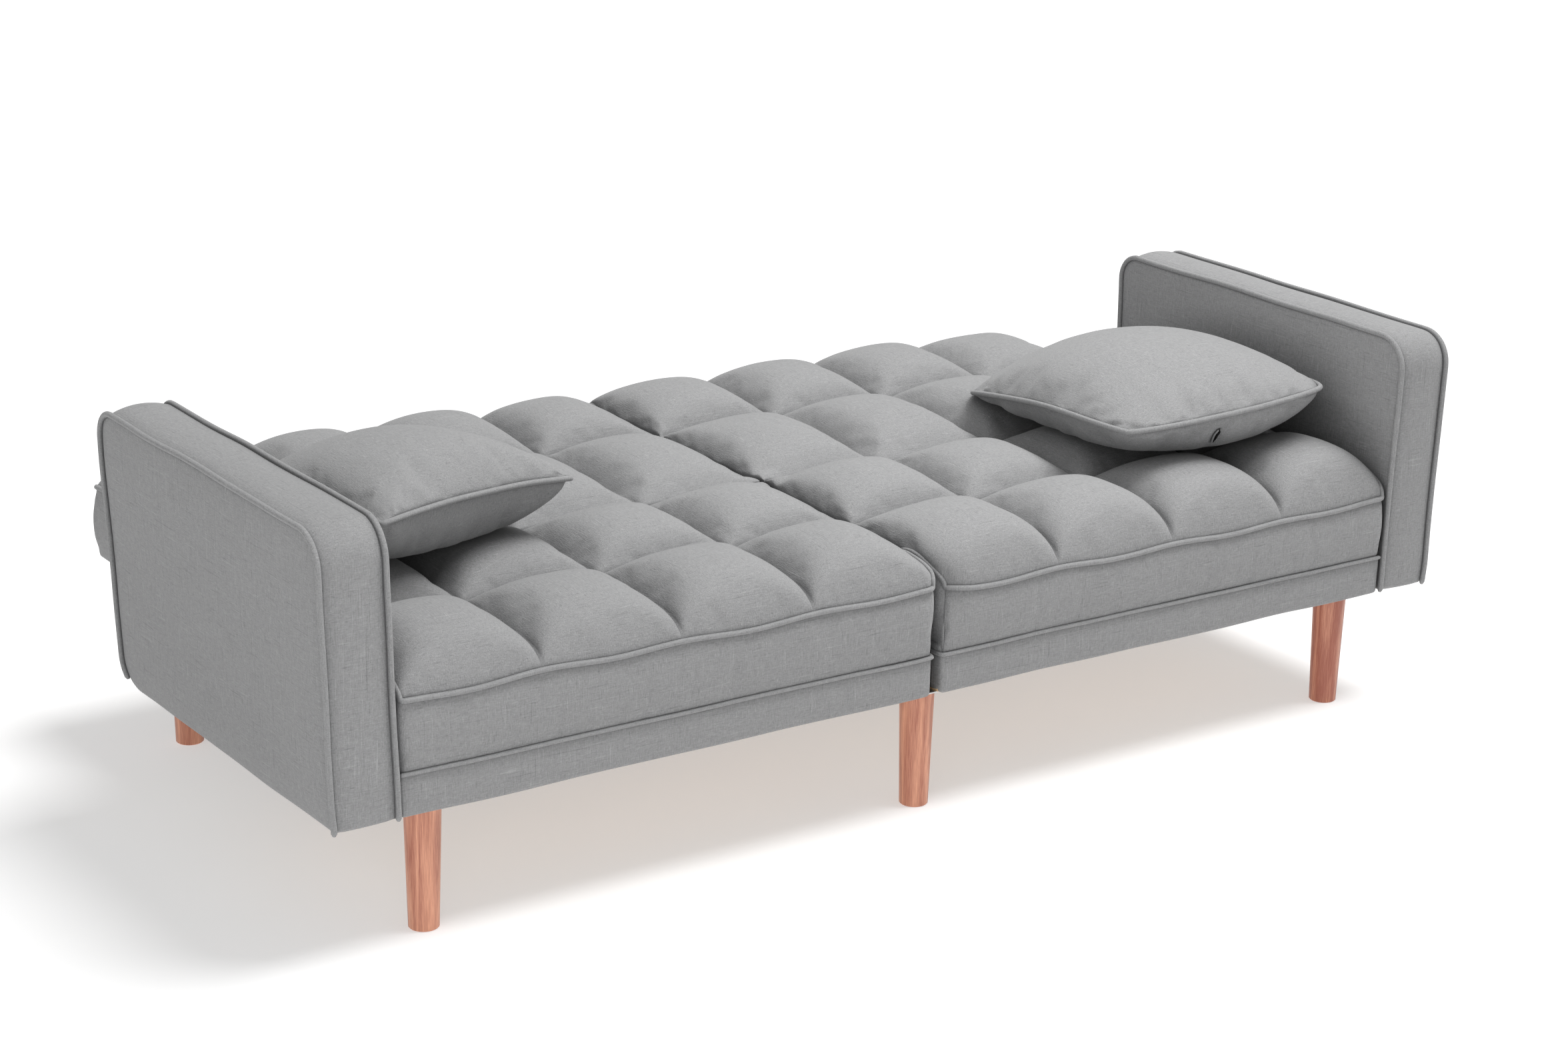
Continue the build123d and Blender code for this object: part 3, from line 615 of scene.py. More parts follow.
REAR_TILES = {1: (1.0, 1.0, 0.98, 0.70), -1: (1.0, 1.16, 1.22, 1.18)}  # fullness from the middle outwards


def tile_sizes(side, part, seed):
    """A height factor for each tile, since no two are stuffed alike."""
    random = np.random.default_rng(seed + side)
    sizes = 1 + 0.06 * random.uniform(-1, 1, (COLUMNS, 2))
    if part == "back":
        sizes[:, 1] = REAR_TILES[side]
    return sizes


def dome(across, along):
    """Height of a tile from its two sections, 0 on every seam and full close to the corners."""
    product = across[:, None] * along[None, :]
    return product / np.maximum(across[:, None] + along[None, :] - product, 1e-9)


def crown_grid(side, part, row_points, low, seed, wave):
    """The quilted top of one half, as a grid of points."""
    x, across = columns(side)
    y, along = row_points
    span = 2 * TILE_CELLS
    column_of = np.minimum(np.arange(len(x)) // span, COLUMNS - 1)
    row_of = np.minimum(np.arange(len(y)) // span, 1)
    sizes = tile_sizes(side, part, seed)[column_of][:, row_of]
    base = low(y)[None, :] + wave[:, None] * (1 - smooth_step(y, FRONT_Y, FRONT_Y + 60 * MM))[None, :]
    boss = 1 - smooth_step(np.abs(y - HINGE_Y), 14 * MM, 34 * MM)
    base = base + BOSS_LIFT * np.outer(1 - smooth_step(x, INNER_EDGE + 8 * MM, INNER_EDGE + 40 * MM), boss)
    grid = np.empty((len(x), len(y), 3))
    grid[..., 0] = side * x[:, None]
    grid[..., 1] = y[None, :]
    grid[..., 2] = base + (CROWN_Z - base) * dome(across, along) * sizes
    grid[span:-1:span, 1:-1, 2] -= SEAM_NOTCH
    grid[1:-1, span, 2] -= SEAM_NOTCH
    return grid


def seam_mask(shape):
    """True on the sewn lines of a crown grid, its border included."""
    on = np.zeros(shape, bool)
    on[:: 2 * TILE_CELLS] = True
    on[:, :: 2 * TILE_CELLS] = True
    return on


def round_corner(points, corner, radius, toward):
    """Round one upright corner in plan; toward says which way the cushion lies from it."""
    corner, toward = np.array(corner), np.array(toward)
    inside = (points[..., :2] - corner) * toward
    near = (inside < radius).all(-1)
    p = np.clip(1 - inside / radius, 0, 1)
    disc = np.stack([
        p[..., 0] * np.sqrt(1 - p[..., 1] ** 2 / 2),
        p[..., 1] * np.sqrt(1 - p[..., 0] ** 2 / 2),
    ], -1)
    moved = corner + toward * radius * (1 - disc)
    result = points.copy()
    result[..., :2] = np.where(near[..., None], moved, points[..., :2])
    return result


CORNER_R = {1: 56 * MM, -1: 15 * MM}  # inner front corners of the right and left halves
FOOT_CORNER_R = 14 * MM  # the same corners at the bottom of the boxing
END_CORNER_R = 9 * MM
REAR_CORNER_R, REAR_INNER_R = 22 * MM, 8 * MM
MEET = 2.3 * MM  # how far the top seams close up over the middle gap
SINK_IN, SINK_DOWN = 5 * MM, 11 * MM  # where the piping lies in the middle crease


def buried(y):
    """How deep in the middle crease the piping lies along y: 0 at the front and rear, 1 between."""
    front = smooth_step(y, FRONT_Y + 70 * MM, FRONT_Y + 135 * MM)
    return front * (1 - smooth_step(y, REAR_EDGE_Y - 60 * MM, REAR_EDGE_Y - 15 * MM))


def closed_up(points, side):
    """Points with the inner edge moved towards the other half, above the hinge."""
    result = points.copy()
    near = 1 - smooth_step(side * points[..., 0], INNER_EDGE, INNER_EDGE + 40 * MM)
    result[..., 0] -= side * MEET * near * buried(points[..., 1])
    return result


def shaped(points, side, edge_y, way, inner_r, end_r):
    """Corner rounding and drift, the same for all that is sewn to a cushion with its long edge at edge_y."""
    points = round_corner(points, (side * INNER_EDGE, edge_y), inner_r, (side, way))
    points = round_corner(points, (side * OUTER_X, edge_y), end_r, (-side, way))
    return hinge_pocket(drift(closed_up(points, side), DRIFT * 0.9), side)


def hinge_pocket(points, side):
    """Both ends drawn in beside the hinge; the middle one only below the tiles' sides."""
    x, y, z = side * points[..., 0], points[..., 1], points[..., 2]
    brackets = smooth_step(y, HINGE_Y - 118 * MM, HINGE_Y - 92 * MM)
    brackets = brackets * (1 - smooth_step(y, HINGE_Y + 78 * MM, HINGE_Y + 102 * MM))
    outer = POCKET * brackets * smooth_step(x, OUTER_X - 70 * MM, OUTER_X)
    boss = 1 - smooth_step(np.abs(y - HINGE_Y), 12 * MM, 24 * MM)
    boss = boss * (1 - smooth_step(z, SEAM_Z - 3 * MM, SEAM_Z + 2 * MM))
    inner = INNER_POCKET * boss * (1 - smooth_step(x, INNER_EDGE + 3 * MM, INNER_EDGE + 30 * MM))
    result = points.copy()
    result[..., 0] += side * (inner - outer)
    return result


def under_grid(top, rim_z, middle_z, inner_x):
    """Underside of a cushion: a narrow rim, and a raised middle that clears the frame."""
    grid = top.copy()
    grid[..., 2] = middle_z
    for line in (0, 1, -1, -2):
        grid[line, :, 2] = rim_z
        grid[:, line, 2] = rim_z
    grid[0, :, 0] = inner_x
    return grid


def end_bulge(rim, front, rear, ends):
    """How far the wall bulges at each point of the rim: nothing beside the hinge."""
    y = rim[:, 1]
    side_on = np.abs(np.gradient(rim[:, 0])) < 0.2 * np.abs(np.gradient(rim[:, 1]))
    clear = smooth_step(np.abs(y - HINGE_Y), 90 * MM, 130 * MM)
    facing = np.where(y < HINGE_Y, front, rear)
    fold = smooth_step(np.abs(y - HINGE_Y), 4 * MM, 8 * MM)
    return np.where(side_on, ends * clear, facing * fold)


def gather(index, count, *grids_flags):
    """For each welded point, whether any grid point there is flagged."""
    on = np.zeros(count, bool)
    np.logical_or.at(on, index, np.concatenate([f.ravel() for f in grids_flags]))
    return on


def cushion(name, side, body, top, under, bulge):
    """A half cushion ready to inflate, as (object, pinned, stretch, cap), its seams and its piping."""
    sides = wall(ring(top), ring(under), WALL_CELLS, bulge, (GROOVE, 0))
    points, faces, index = weld([top, under, sides])
    none_top, none_under, none_sides = (np.zeros(g.shape[:2], bool) for g in (top, under, sides))
    hems = none_sides.copy()
    hems[:, 0] = hems[:, -1] = True
    seams = gather(index, len(points), seam_mask(top.shape[:2]), none_under, none_sides)
    held = gather(index, len(points), none_top, ~none_under, hems)
    on_top = gather(index, len(points), ~none_top, none_under, none_sides)
    cap = np.where(on_top, TOP_CAP, WALL_CAP)
    cap = np.where(np.abs(points[:, 1] - HINGE_Y) < 30 * MM, WALL_CAP, cap)
    obj = make_mesh(f"{name}_{body}_cover", points, faces)
    welt = tube(f"{name}_{body}_welt", welt_path(top, side, body), WELT_R)
    return (obj, seams | held, SPARE_CLOTH, cap), seams, welt


def welt_path(top, side, body):
    """The line of the piping round one half's top: one long edge and both ends."""
    way = -1 if body == "seat" else 1
    front = (top[:, 0] if body == "seat" else top[:, -1]) + np.array((0, way * WELT_OUT, 0))
    inner, outer = top[0].copy(), top[-1]
    deep = buried(inner[:, 1])
    inner[:, 0] += side * SINK_IN * deep
    inner[:, 2] -= SINK_DOWN * deep
    if body == "seat":
        path = np.concatenate([inner[::-1], front[1:], outer[1:]])
    else:
        path = np.concatenate([inner, front[1:], outer[-2::-1]])
    return path[np.abs(path[:, 1] - HINGE_Y) > WELT_END]


def make_seat(side, name):
    """Seat cushion of one half."""
    x = columns(side)[0]
    top = crown_grid(side, "seat", seat_rows(), seat_low, SEAT_SEED, welt_wave(side * x, side))
    under = under_grid(top, SEAT_LOW.z, SEAT_LOW.z + 11 * MM, side * INNER_X)
    heights = under[..., 2].copy()
    top = shaped(top, side, FRONT_Y, 1, CORNER_R[side], END_CORNER_R)
    under = shaped(under, side, FRONT_Y, 1, FOOT_CORNER_R, END_CORNER_R)
    under[..., 2] = heights
    bulge = end_bulge(ring(top), FRONT_BULGE, 0, END_BULGE)
    return cushion(name, side, "seat", top, under, bulge)


def make_back(side, name):
    """Back cushion of one half, lying flat."""
    flat = np.zeros(len(columns(side)[0]))
    top = crown_grid(side, "back", back_rows(), back_low, BACK_SEED, flat)
    rim_z = BACK_FRAME_LOW.z - 0.6 * MM
    middle_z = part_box("right_back_panel")[1].z + 0.5 * MM
    top = shaped(top, side, REAR_EDGE_Y, -1, REAR_INNER_R, REAR_CORNER_R)
    under = under_grid(top, rim_z, middle_z, side * (BACK_FRAME_LOW.x - 1.4 * MM))
    skirt = SKIRT * smooth_step(under[..., 1], HINGE_Y + 120 * MM, HINGE_Y + 260 * MM)
    for line in (np.s_[-2:, :], np.s_[len(under) // 8:, -2:]):
        under[line][..., 2] = rim_z - skirt[line]
    bulge = end_bulge(ring(top), 0, REAR_BULGE, END_BULGE)
    return cushion(name, side, "back", top, under, bulge)


# ---- front bands
BAND_CELLS = (84, 7)
BAND_INNER, BAND_SLANT = 5.2 * MM, 2 * MM
BAND_CORNER_R, BAND_WELT_R = 9 * MM, 3.1 * MM
LINING_GAP = 0.5 * MM  # between the rail and the cloth's inner face


def band_face(side, y, inset, slant):
    """Grid of points of the band's outline at one depth, drawn in by inset."""
    across, up = np.linspace(0, 1, BAND_CELLS[0])[:, None], np.linspace(0, 1, BAND_CELLS[1])[None, :]
    inner = BAND_INNER + inset[0] + slant * (1 - up)
    outer = BAND_HIGH.x - inset[1] - 0.5 * slant * (1 - up)
    low, high = BAND_LOW.z - 1.3 * MM + inset[2], BAND_HIGH.z - inset[3]
    grid = np.empty((*BAND_CELLS, 3))
    grid[..., 0] = side * (inner + (outer - inner) * across)
    grid[..., 1] = y
    grid[..., 2] = low + (high - low) * up
    return grid


def make_band(side, name):
    """Cloth cover that wraps the front rail of one half, open behind, with piping on top."""
    rail_low, rail_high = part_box("right_front_rail")
    front, liner = BAND_LOW.y, rail_low.y - 0.4 * MM
    around = (
        rail_low.x - LINING_GAP - BAND_INNER,
        BAND_HIGH.x - rail_high.x - LINING_GAP,
        rail_low.z - BAND_LOW.z + 0.9 * MM,
        BAND_HIGH.z - rail_high.z - LINING_GAP,
    )
    outer = band_face(side, front, (0, 0, 0, 0), BAND_SLANT)
    inner = band_face(side, liner, around, 0)
    outer_rear, inner_rear = outer.copy(), inner.copy()
    outer_rear[..., 1] = inner_rear[..., 1] = rail_high.y + 1 * MM
    corner, faces = (side * BAND_INNER, FRONT_Y), (outer, outer_rear)
    outer, outer_rear = (drift(round_corner(g, corner, BAND_CORNER_R, (side, 1))) for g in faces)
    outer[2:-2, 2:-2, 1] -= 1.6 * MM
    parts = [
        outer,
        wall(ring(outer), ring(outer_rear), 5, 0.4 * MM),
        wall(ring(outer_rear), ring(inner_rear), 1, 0),
        wall(ring(inner_rear), ring(inner), 1, 0),
        inner,
    ]
    points, faces, _ = weld(parts)
    band = make_mesh(f"{name}_band_cover", points, faces)
    subdivide(band)
    line = outer[:, -1] + np.array((0, -0.8 * MM, -1.6 * MM))
    end = np.linspace(outer_rear[0, -1], outer[0, -1], 6)[:-1] + np.array((0, 0, -1.6 * MM))
    welt = tube(f"{name}_band_welt", np.concatenate([end, line]), BAND_WELT_R)
    return band, welt


# ---- arms
ARM_HEIGHT = ARM_HIGH.z - BAND_LOW.z
ARM_FOOT_X = BAND_HIGH.x + 1 * MM
ARM_LEAN = atan2(12, 394)
ARM_THICK = 96 * MM
ARM_TOP_DEPTH, ARM_FOOT_DEPTH = 653 * MM, 632 * MM
ARM_RADII = (3 * MM, 48 * MM, 38 * MM, 44 * MM)  # front foot, front top, rear top, rear foot
ARM_CELL = 9 * MM
MID_ARC = 6  # steps from the start of a corner's arc to its middle
ARM_TUCK, ARM_TUCK_HEIGHT = 2.5 * MM, 40 * MM  # the outer face turns in at the foot
ARM_WELT_PROUD = {"inner": 0.3 * MM, "outer": 1.5 * MM}
ARM_WELT_OUT, ARM_WELT_R = 1.7 * MM, 4.2 * MM
ARM_GROOVE = 1.1 * MM  # the boxing strip dips beside the piping


def corner_arc(before, corner, after, radius, count):
    """Points round one corner of an outline."""
    before, corner, after = (np.array(p, float) for p in (before, corner, after))
    back, ahead = unit(before - corner), unit(after - corner)
    half = np.arccos(np.clip(back @ ahead, -1, 1)) / 2
    centre = corner + unit(back + ahead) * radius / sin(half)
    start = corner + back * radius / np.tan(half) - centre
    end = corner + ahead * radius / np.tan(half) - centre
    turn = pi - 2 * half
    t = np.linspace(0, 1, count)[:, None]
    return centre + (start * np.sin((1 - t) * turn) + end * np.sin(t * turn)) / sin(turn)


def arm_outline():
    """The arm's side outline as four lists of points, each from mid corner to mid corner."""
    corners = [(0, 0), (0, ARM_HEIGHT), (ARM_TOP_DEPTH, ARM_HEIGHT), (ARM_FOOT_DEPTH, 0)]
    arcs = [
        corner_arc(corners[k - 1], corners[k], corners[(k + 1) % 4], ARM_RADII[k], 2 * MID_ARC + 1)
        for k in range(4)
    ]
    return [np.concatenate([arcs[k][MID_ARC:], arcs[(k + 1) % 4][: MID_ARC + 1]]) for k in range(4)]


def arm_face():
    """Grid of points over the arm's side, [along the depth, up the height], and its own two shares."""
    front, top, rear, foot = arm_outline()
    high = int(round(ARM_HEIGHT / ARM_CELL))
    deep = int(round(ARM_TOP_DEPTH / ARM_CELL))
    front, rear = evenly(front, cells=high), evenly(rear[::-1], cells=high)
    top, foot = evenly(top, cells=deep), evenly(foot[::-1], cells=deep)
    u, v = np.linspace(0, 1, deep + 1)[:, None, None], np.linspace(0, 1, high + 1)[None, :, None]
    blend = (1 - v) * foot[:, None] + v * top[:, None] + (1 - u) * front[None] + u * rear[None]
    corner = (1 - u) * (1 - v) * front[0] + u * (1 - v) * rear[0]
    corner = corner + (1 - u) * v * front[-1] + u * v * rear[-1]
    return blend - corner, u[..., 0], v[..., 0]


def on_arm(flat, depth_in, side):
    """Points of the arm's side outline placed in the row frame, depth_in from the inner face."""
    along, up = flat[..., 0], flat[..., 1]
    x = ARM_FOOT_X + depth_in * cos(ARM_LEAN) + up * sin(ARM_LEAN)
    z = BAND_LOW.z - depth_in * sin(ARM_LEAN) + up * cos(ARM_LEAN)
    return np.stack([side * x, FRONT_Y + along, z], -1)


def arm_crown(rim):
    """How far the boxing strip bulges round the arm: most on top, hardly at all underneath."""
    up = smooth_step(rim[:, 2], BAND_LOW.z + 10 * MM, BAND_LOW.z + 60 * MM)
    top = smooth_step(rim[:, 2], ARM_HIGH.z - 60 * MM, ARM_HIGH.z - 20 * MM)
    return (1 + 3.5 * up + 3.5 * top) * MM


def make_arm(side, name):
    """Arm cover: two padded side panels and a crowned boxing strip between the piping."""
    flat, u, v = arm_face()
    pad = (1 - np.abs(2 * u - 1) ** 6) * (1 - np.abs(2 * v - 1) ** 6)
    free = smooth_step(flat[..., 1], SEAT_HIGH.z - BAND_LOW.z, SEAT_HIGH.z - BAND_LOW.z + 70 * MM)
    tuck = ARM_TUCK * (1 - smooth_step(flat[..., 1], 0, ARM_TUCK_HEIGHT))
    inner = on_arm(flat, 3 * MM - pad * (0.8 + 2.6 * free) * MM, side)
    outer = on_arm(flat, ARM_THICK - 3 * MM + pad * 3.5 * MM - tuck, side)
    inner, outer = (drift(g, 2.1 * MM, 0.13, 7.7) for g in (inner, outer))
    sides = wall(ring(outer), ring(inner), 14, arm_crown(ring(outer)), (ARM_GROOVE, ARM_GROOVE))
    points, faces, _ = weld([outer, inner, sides])
    cover = make_mesh(f"{name}_arm_upholstery", points, faces)
    subdivide(cover)
    welts = []
    for grid, edge, way in ((inner, "inner", -1), (outer, "outer", 1)):
        around = np.concatenate([grid[0], grid[1:, -1], grid[-1, -2::-1]])
        out = ARM_WELT_OUT * unit(around - around.mean(0))
        out[:, 0] = side * way * ARM_WELT_PROUD[edge]
        welts.append(tube(f"{name}_arm_{edge}_welt", around + out, ARM_WELT_R))
    return cover, welts


# ---- throw pillows
class Pillow:
    """Where a throw pillow lies, its size, and how its two skins swell."""

    def __init__(self, centre, turns, half_size, crown, belly, draw, lifts, rest_z):
        tilt, yaw, roll = (radians(angle) for angle in turns)
        turn = Matrix.Rotation(yaw, 3, "Z") @ Matrix.Rotation(tilt, 3, "X") @ Matrix.Rotation(roll, 3, "Y")
        self.turn = np.array(turn)
        self.centre = np.array(centre)
        self.half_size, self.swell, self.draw = half_size, {1: crown, -1: belly}, draw
        self.lifts, self.rest_z = lifts, rest_z

    def place(self, local):
        return local @ self.turn.T + self.centre

    def skin(self, up, cells=(60, 56)):
        """Grid of points of the upper (1) or lower (-1) skin."""
        reach = 0.46 * pi  # cells get narrower towards the seams
        u, v = (np.sin(np.linspace(-reach, reach, n + 1)) / sin(reach) for n in cells)
        u, v = np.meshgrid(u, v, indexing="ij")
        height, fullness = self.swell[up]
        full = np.clip((1 - u**2) * (1 - v**2), 0, 1) ** fullness
        round_off = 1 - CORNER_ROUND * (u * v) ** 8
        x = self.half_size[0] * u * (1 - self.draw * (1 - v**2)) * round_off
        y = self.half_size[1] * v * (1 - self.draw * (1 - u**2)) * round_off
        front, left = self.lifts
        lift = front * (1 - u**2) * ((1 - v) / 2) ** 2 + left * (1 - v**2) * ((1 - u) / 2) ** 2
        return self.place(np.stack([x, y, up * height * full + lift + puckers(u, v, up)], -1))


CORNER_ROUND = 0.045
PUCKER, PUCKER_PITCH, PUCKER_REACH = 3.6 * MM, 0.14, 0.15


def puckers(u, v, up):
    """Short shallow folds that run in from the front and rear seams of a pillow."""
    wave = np.array([noise.noise(Vector((along / PUCKER_PITCH, 5.3 * up, 0.5))) for along in u[:, 0]])
    reach = sum(t * np.exp(1 - t) for t in ((1 + v) / PUCKER_REACH, (1 - v) / PUCKER_REACH))
    return PUCKER * wave[:, None] * reach * (1 - u**8)


PILLOWS = {
    "right": Pillow(
        (627 * MM, FRONT_Y + 321 * MM, 452 * MM), (-6.3, -4.7, -4.3), (184 * MM, 219 * MM),
        (83 * MM, 0.70), (93 * MM, 0.49), -0.10, (1 * MM, 20 * MM), 413 * MM,
    ),
    "left": Pillow(
        (-640 * MM, FRONT_Y + 401 * MM, 464 * MM), (-9.3, 18.8, 3.7), (190 * MM, 173 * MM),
        (87 * MM, 0.49), (88 * MM, 0.44), 0.10, (7 * MM, -3 * MM), 417 * MM,
    ),
}
PILLOW_CAP = 5 * MM
PILLOW_WELT_OUT, PILLOW_WELT_R = 3.2 * MM, 4.0 * MM
PILLOW_ROOM = 838 * MM  # as far out as a pillow reaches before it presses on the arm
SOFT = 6 * MM  # how gently a pillow flattens where it rests


def make_pillow(name, pillow):
    """A knife-edge pillow ready to inflate, as (object, pinned, stretch, cap), and the rim of its seam."""
    grids = [drift(pillow.skin(up), 1.5 * MM, 0.11, 3.3) for up in (1, -1)]
    rim = ring(grids[0])
    points, faces, index = weld(grids)
    border = np.zeros(grids[0].shape[:2], bool)
    border[0] = border[-1] = True
    border[:, 0] = border[:, -1] = True
    edge = gather(index, len(points), border, border)
    obj = make_mesh(f"{name}_throw_pillow", points, faces)
    return (obj, edge, 0.035, PILLOW_CAP), rim


def pressed(depth, soft):
    """Depth above a surface, eased so that it never goes below it."""
    return np.where(depth > soft, depth, soft * np.exp((depth - soft) / soft))


def against(points, pillow):
    """Points of a pillow flattened softly on the cushions and beside the arm."""
    side = np.sign(pillow.centre[0])
    result = points.copy()
    result[..., 2] = pillow.rest_z + pressed(points[..., 2] - pillow.rest_z, SOFT)
    result[..., 0] = side * (PILLOW_ROOM - pressed(PILLOW_ROOM - side * points[..., 0], 2 * SOFT))
    return result


def settle(obj, pillow):
    """Let a pillow's mesh rest where it lies."""
    points = against(coordinates(obj.data), pillow)
    obj.data.vertices.foreach_set("co", points.reshape(-1))
    obj.data.update()


def pillow_welt(name, rim, pillow):
    """Piping round a pillow, just outside its seam."""
    path = against(rim + PILLOW_WELT_OUT * unit(rim - rim.mean(0)), pillow)
    return tube(f"{name}_pillow_welt", path, PILLOW_WELT_R, closed=True)


# the open end of the right pillow's zipper
ZIP_TOP = Vector((581 * MM, FRONT_Y + 91 * MM, 453 * MM))
ZIP_FOOT = Vector((583 * MM, FRONT_Y + 110 * MM, 430 * MM))
SLIT_LIFT, SLIDER_LIFT, LIP_R = 2.6 * MM, 2.8 * MM, 1.5 * MM
SLIDER_SIZE = (6.5 * MM, 3.4 * MM, 2.6 * MM)  # half length, half width, half height
TAB_SIZE = (8.0 * MM, 2.1 * MM, 1.5 * MM)


def on_skin(tree, point, lift):
    """The nearest point of a surface, raised a little off it, and the surface's direction there."""
    place, normal, _, _ = tree.find_nearest(point)
    return place + normal * lift, normal


def make_zipper(pillow):
    """Dark slit with a slider, between two lips of cloth, on the pillow's underside."""
    mesh = pillow.data
    skin = BVHTree.FromPolygons(coordinates(mesh).tolist(), [tuple(f.vertices) for f in mesh.polygons])
    down = (ZIP_FOOT - ZIP_TOP).normalized()
    rows, lips = [], ([], [])
    for t in np.linspace(0, 1, 13):
        middle, normal = on_skin(skin, ZIP_TOP.lerp(ZIP_FOOT, float(t)), SLIT_LIFT)
        across = normal.cross(down).normalized()
        half = (0.9 + 3.9 * sin(pi * t) ** 0.7) * MM
        domed = normal * 0.6 * MM
        rows.append([middle + across * half * k + domed * (1 - k * k) for k in (-1, -0.5, 0, 0.5, 1)])
        for lip, way in zip(lips, (1, -1)):
            lip.append(middle + across * way * (half + 1.0 * MM))
    points, faces, _ = weld([np.array(rows), *slider_points(skin, down)])
    zipper = make_mesh("right_pillow_zip_slider", points, faces)
    names = ("right_pillow_zip_lip_1", "right_pillow_zip_lip_2")
    return zipper, [tube(name, np.array(lip), LIP_R, step=2 * MM) for name, lip in zip(names, lips)]


def slider_points(skin, down):
    """A small domed slider body with its hanging tab, as closed grids."""
    turn, rise_by = np.linspace(0, 2 * pi, 17)[:, None], np.linspace(-pi / 2, pi / 2, 9)[None, :]
    round_off = np.abs(np.cos(rise_by)) ** 0.5
    plan = [np.sign(f(turn)) * np.abs(f(turn)) ** 0.6 * round_off for f in (np.cos, np.sin)]
    shape = np.stack([*plan, np.sin(rise_by) + 0 * turn], -1)
    grids = []
    for t, size in ((0.30, SLIDER_SIZE), (0.72, TAB_SIZE)):
        middle, normal = on_skin(skin, ZIP_TOP.lerp(ZIP_FOOT, t), SLIDER_LIFT)
        across = normal.cross(down).normalized()
        grids.append(np.array(middle) + (shape * size) @ np.array((down, across, normal)))
    return grids


# ---- stage
CAMERA_AT = (-2.648, -3.936, 1.837)
CAMERA_YAW, CAMERA_PITCH, CAMERA_ROLL = radians(34.60), radians(17.98), radians(1.15)
CAMERA_LENS = 76.53


def make_camera():
    """A long lens from the left of the front, slightly above."""
    level_run = cos(CAMERA_PITCH)
    ahead = Vector((sin(CAMERA_YAW) * level_run, cos(CAMERA_YAW) * level_run, -sin(CAMERA_PITCH)))
    level = Vector((cos(CAMERA_YAW), -sin(CAMERA_YAW), 0))
    upright = level.cross(ahead)
    right = cos(CAMERA_ROLL) * level + sin(CAMERA_ROLL) * upright
    up = -sin(CAMERA_ROLL) * level + cos(CAMERA_ROLL) * upright
    data = bpy.data.cameras.new("camera")
    data.lens, data.sensor_width, data.sensor_fit = CAMERA_LENS, 36, "HORIZONTAL"
    data.clip_end = 100
    turned = Matrix((right, up, -ahead)).transposed().to_4x4()
    camera = add_object("camera", data)
    camera.matrix_world = Matrix.Translation(CAMERA_AT) @ turned
    bpy.context.scene.camera = camera


def make_floor():
    """A large pale floor with a faint mottle, lit a little from within to keep shadows pale."""
    material, tree, shader, where = new_material("floor", 0.9)
    shader.inputs["Emission Color"].default_value = (1, 1, 1, 1)
    shader.inputs["Emission Strength"].default_value = 0.45
    mottle = noise_at(tree, where, [3] * 3, detail=3.0)
    paint(tree, shader, spread(tree, mottle, 0.3, 0.7), (0.56,) * 3, (0.59,) * 3)
    half = 30.0
    corners = [(-half, -half, 0), (half, -half, 0), (half, half, 0), (-half, half, 0)]
    floor = make_mesh("floor", corners, [[0, 1, 2, 3]])
    floor.data.materials.append(material)


def hang(name, data, turn, at=(0, 0, 0)):
    """Put a light in the scene, turned by a quaternion."""
    lamp = add_object(name, data)
    lamp.location = at
    lamp.rotation_mode = "QUATERNION"
    lamp.rotation_quaternion = turn


def make_sun(name, toward, strength, spread_angle):
    """Soft light from one direction, the same over the whole floor."""
    data = bpy.data.lights.new(name, "SUN")
    data.energy, data.angle = strength, radians(spread_angle)
    hang(name, data, Vector(toward).to_track_quat("Z", "Y"))


def make_lamp(name, at, look_at, size, watts):
    """A square softbox."""
    data = bpy.data.lights.new(name, "AREA")
    data.shape, data.size, data.energy = "SQUARE", size, watts
    hang(name, data, (Vector(look_at) - Vector(at)).to_track_quat("-Z", "Y"), at)


def make_stage():
    make_floor()
    make_camera()
    make_sun("key", (0.42, -0.12, 1.0), 2.85, 26)
    make_sun("low_fill", (-0.90, -0.30, 0.42), 0.28, 50)
    make_lamp("overhead", (1.3, 0.3, 2.2), (1.0, 0.1, 0.4), 1.2, 11)
    make_lamp("right_arm", (0.15, -0.5, 1.3), (0.85, 0.0, 0.50), 0.8, 3)
    make_lamp("front", (-1.9, -2.4, 1.0), (-0.6, 0, 0.3), 1.2, 10)
    world = bpy.data.worlds.new("studio")
    world.use_nodes = True
    sky = world.node_tree.nodes["Background"].inputs
    sky["Color"].default_value = (1, 1, 1, 1)
    sky["Strength"].default_value = 0.32
    bpy.context.scene.world = world
    bpy.context.scene.view_settings.view_transform = "Standard"


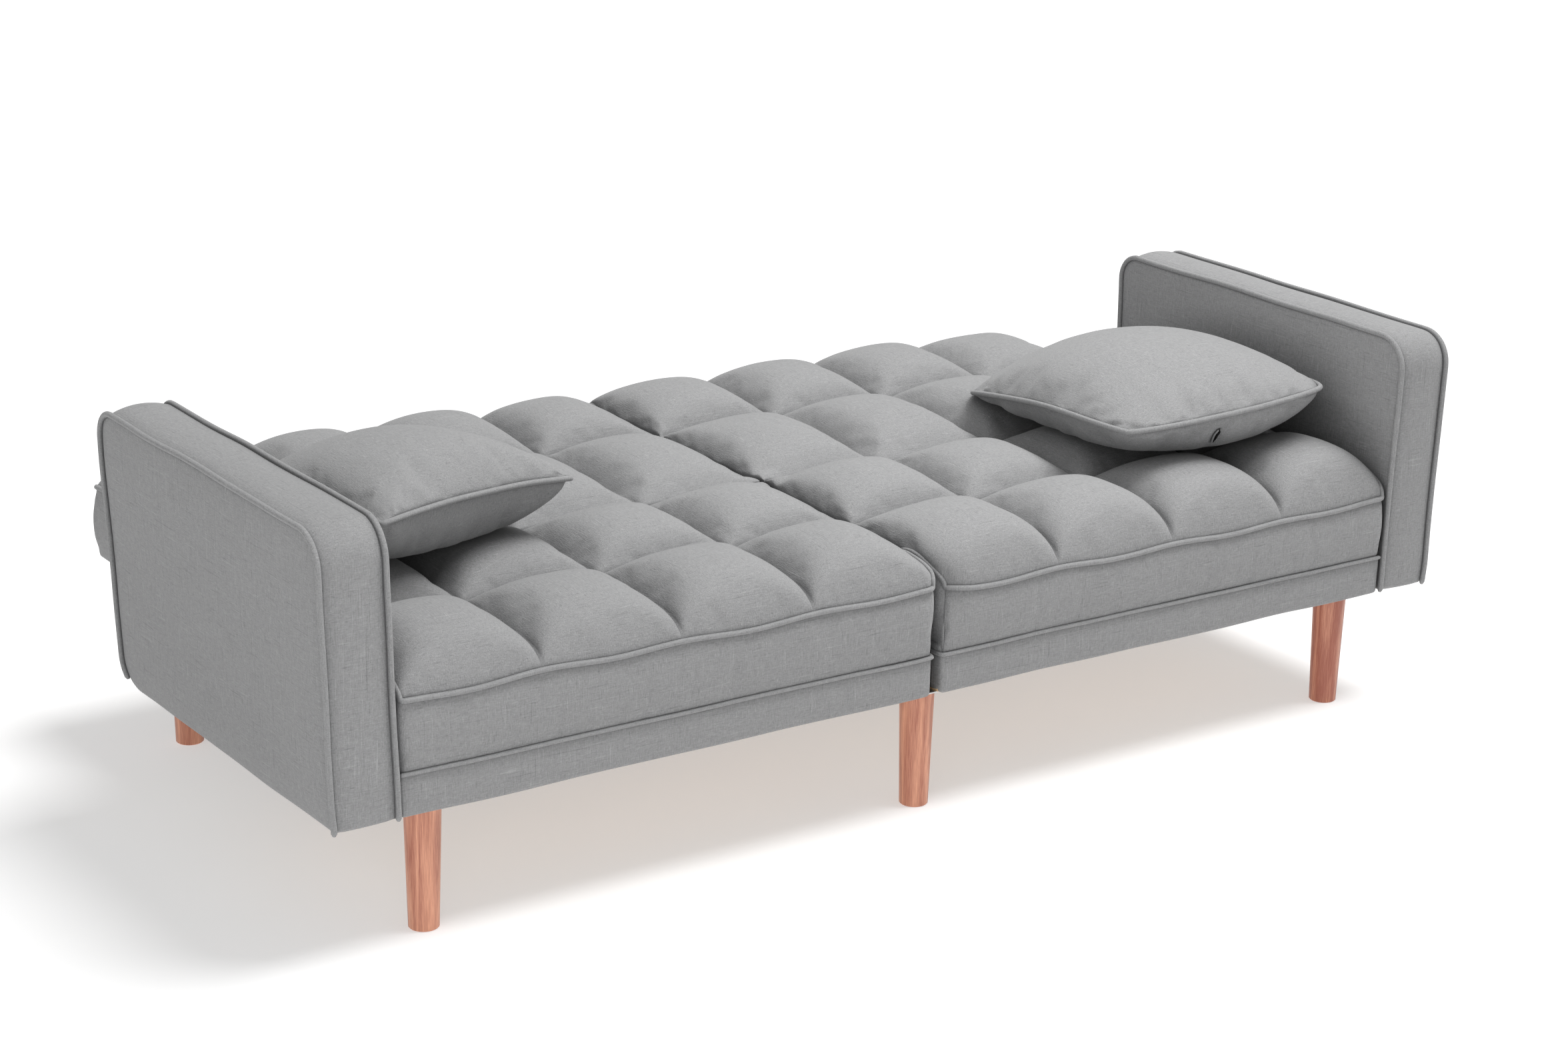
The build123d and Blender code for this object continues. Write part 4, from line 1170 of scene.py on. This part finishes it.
# ---- putting it together
SKIRT = 19 * MM  # how far the back's cover hangs below its frame at the rear and the ends
POCKET, INNER_POCKET = 9.5 * MM, 5.5 * MM
SEAT_SEED, BACK_SEED = 11, 23
FRONT_BULGE, REAR_BULGE, END_BULGE = 3.5 * MM, 6 * MM, 3 * MM
TOP_CAP, WALL_CAP = 7 * MM, 2.2 * MM
GROOVE, WELT_OUT = 0.9 * MM, 1.2 * MM  # beside the cushions' piping, and how far the piping stands out
SPARE_CLOTH = 0.012
SIDES = {"right": 1, "left": -1}

dress_cad_nodes()
to_inflate, covers, pillows = [], [], {}
for name, side in SIDES.items():
    for kind, body, make in (("seat", "frame", make_seat), ("back", f"{name}_back", make_back)):
        piece, seams, welt = make(side, name)
        to_inflate.append(piece)
        covers.append((piece[0], seams, body, f"{name}_{kind}_cushion"))
        place_piece(welt, body)
for name, pillow in PILLOWS.items():
    piece, rim = make_pillow(name, pillow)
    to_inflate.append(piece)
    pillows[name] = (piece[0], rim)

inflate(to_inflate)

for cover, seams, body, node in covers:
    crease(cover, seams)
    subdivide(cover)
    place_piece(cover, body, replaces=[node])

for name, side in SIDES.items():
    band, welt = make_band(side, name)
    place_piece(band, "frame", replaces=[f"{name}_front_band"])
    place_piece(welt, "frame")
    cover, welts = make_arm(side, name)
    place_piece(cover, "frame", replaces=[f"{name}_arm_cover"])
    place_piece(welts[0], "frame", replaces=[f"{name}_arm_welts"])
    place_piece(welts[1], "frame")
    pillow, rim = pillows[name]
    settle(pillow, PILLOWS[name])
    pieces = [pillow, pillow_welt(name, rim, PILLOWS[name])]
    if name == "right":
        zipper, lips = make_zipper(pillow)
        place_piece(zipper, "right_pillow_body", slot="zipper_black", replaces=["right_pillow_zipper"])
        for lip in lips:
            place_piece(lip, "right_pillow_body")
        pieces += [zipper, *lips]
    subdivide(pillow)
    place_piece(pillow, f"{name}_pillow_body", replaces=[f"{name}_pillow"])
    place_piece(pieces[1], f"{name}_pillow_body")
    for piece in pieces:
        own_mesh(piece)

make_stage()
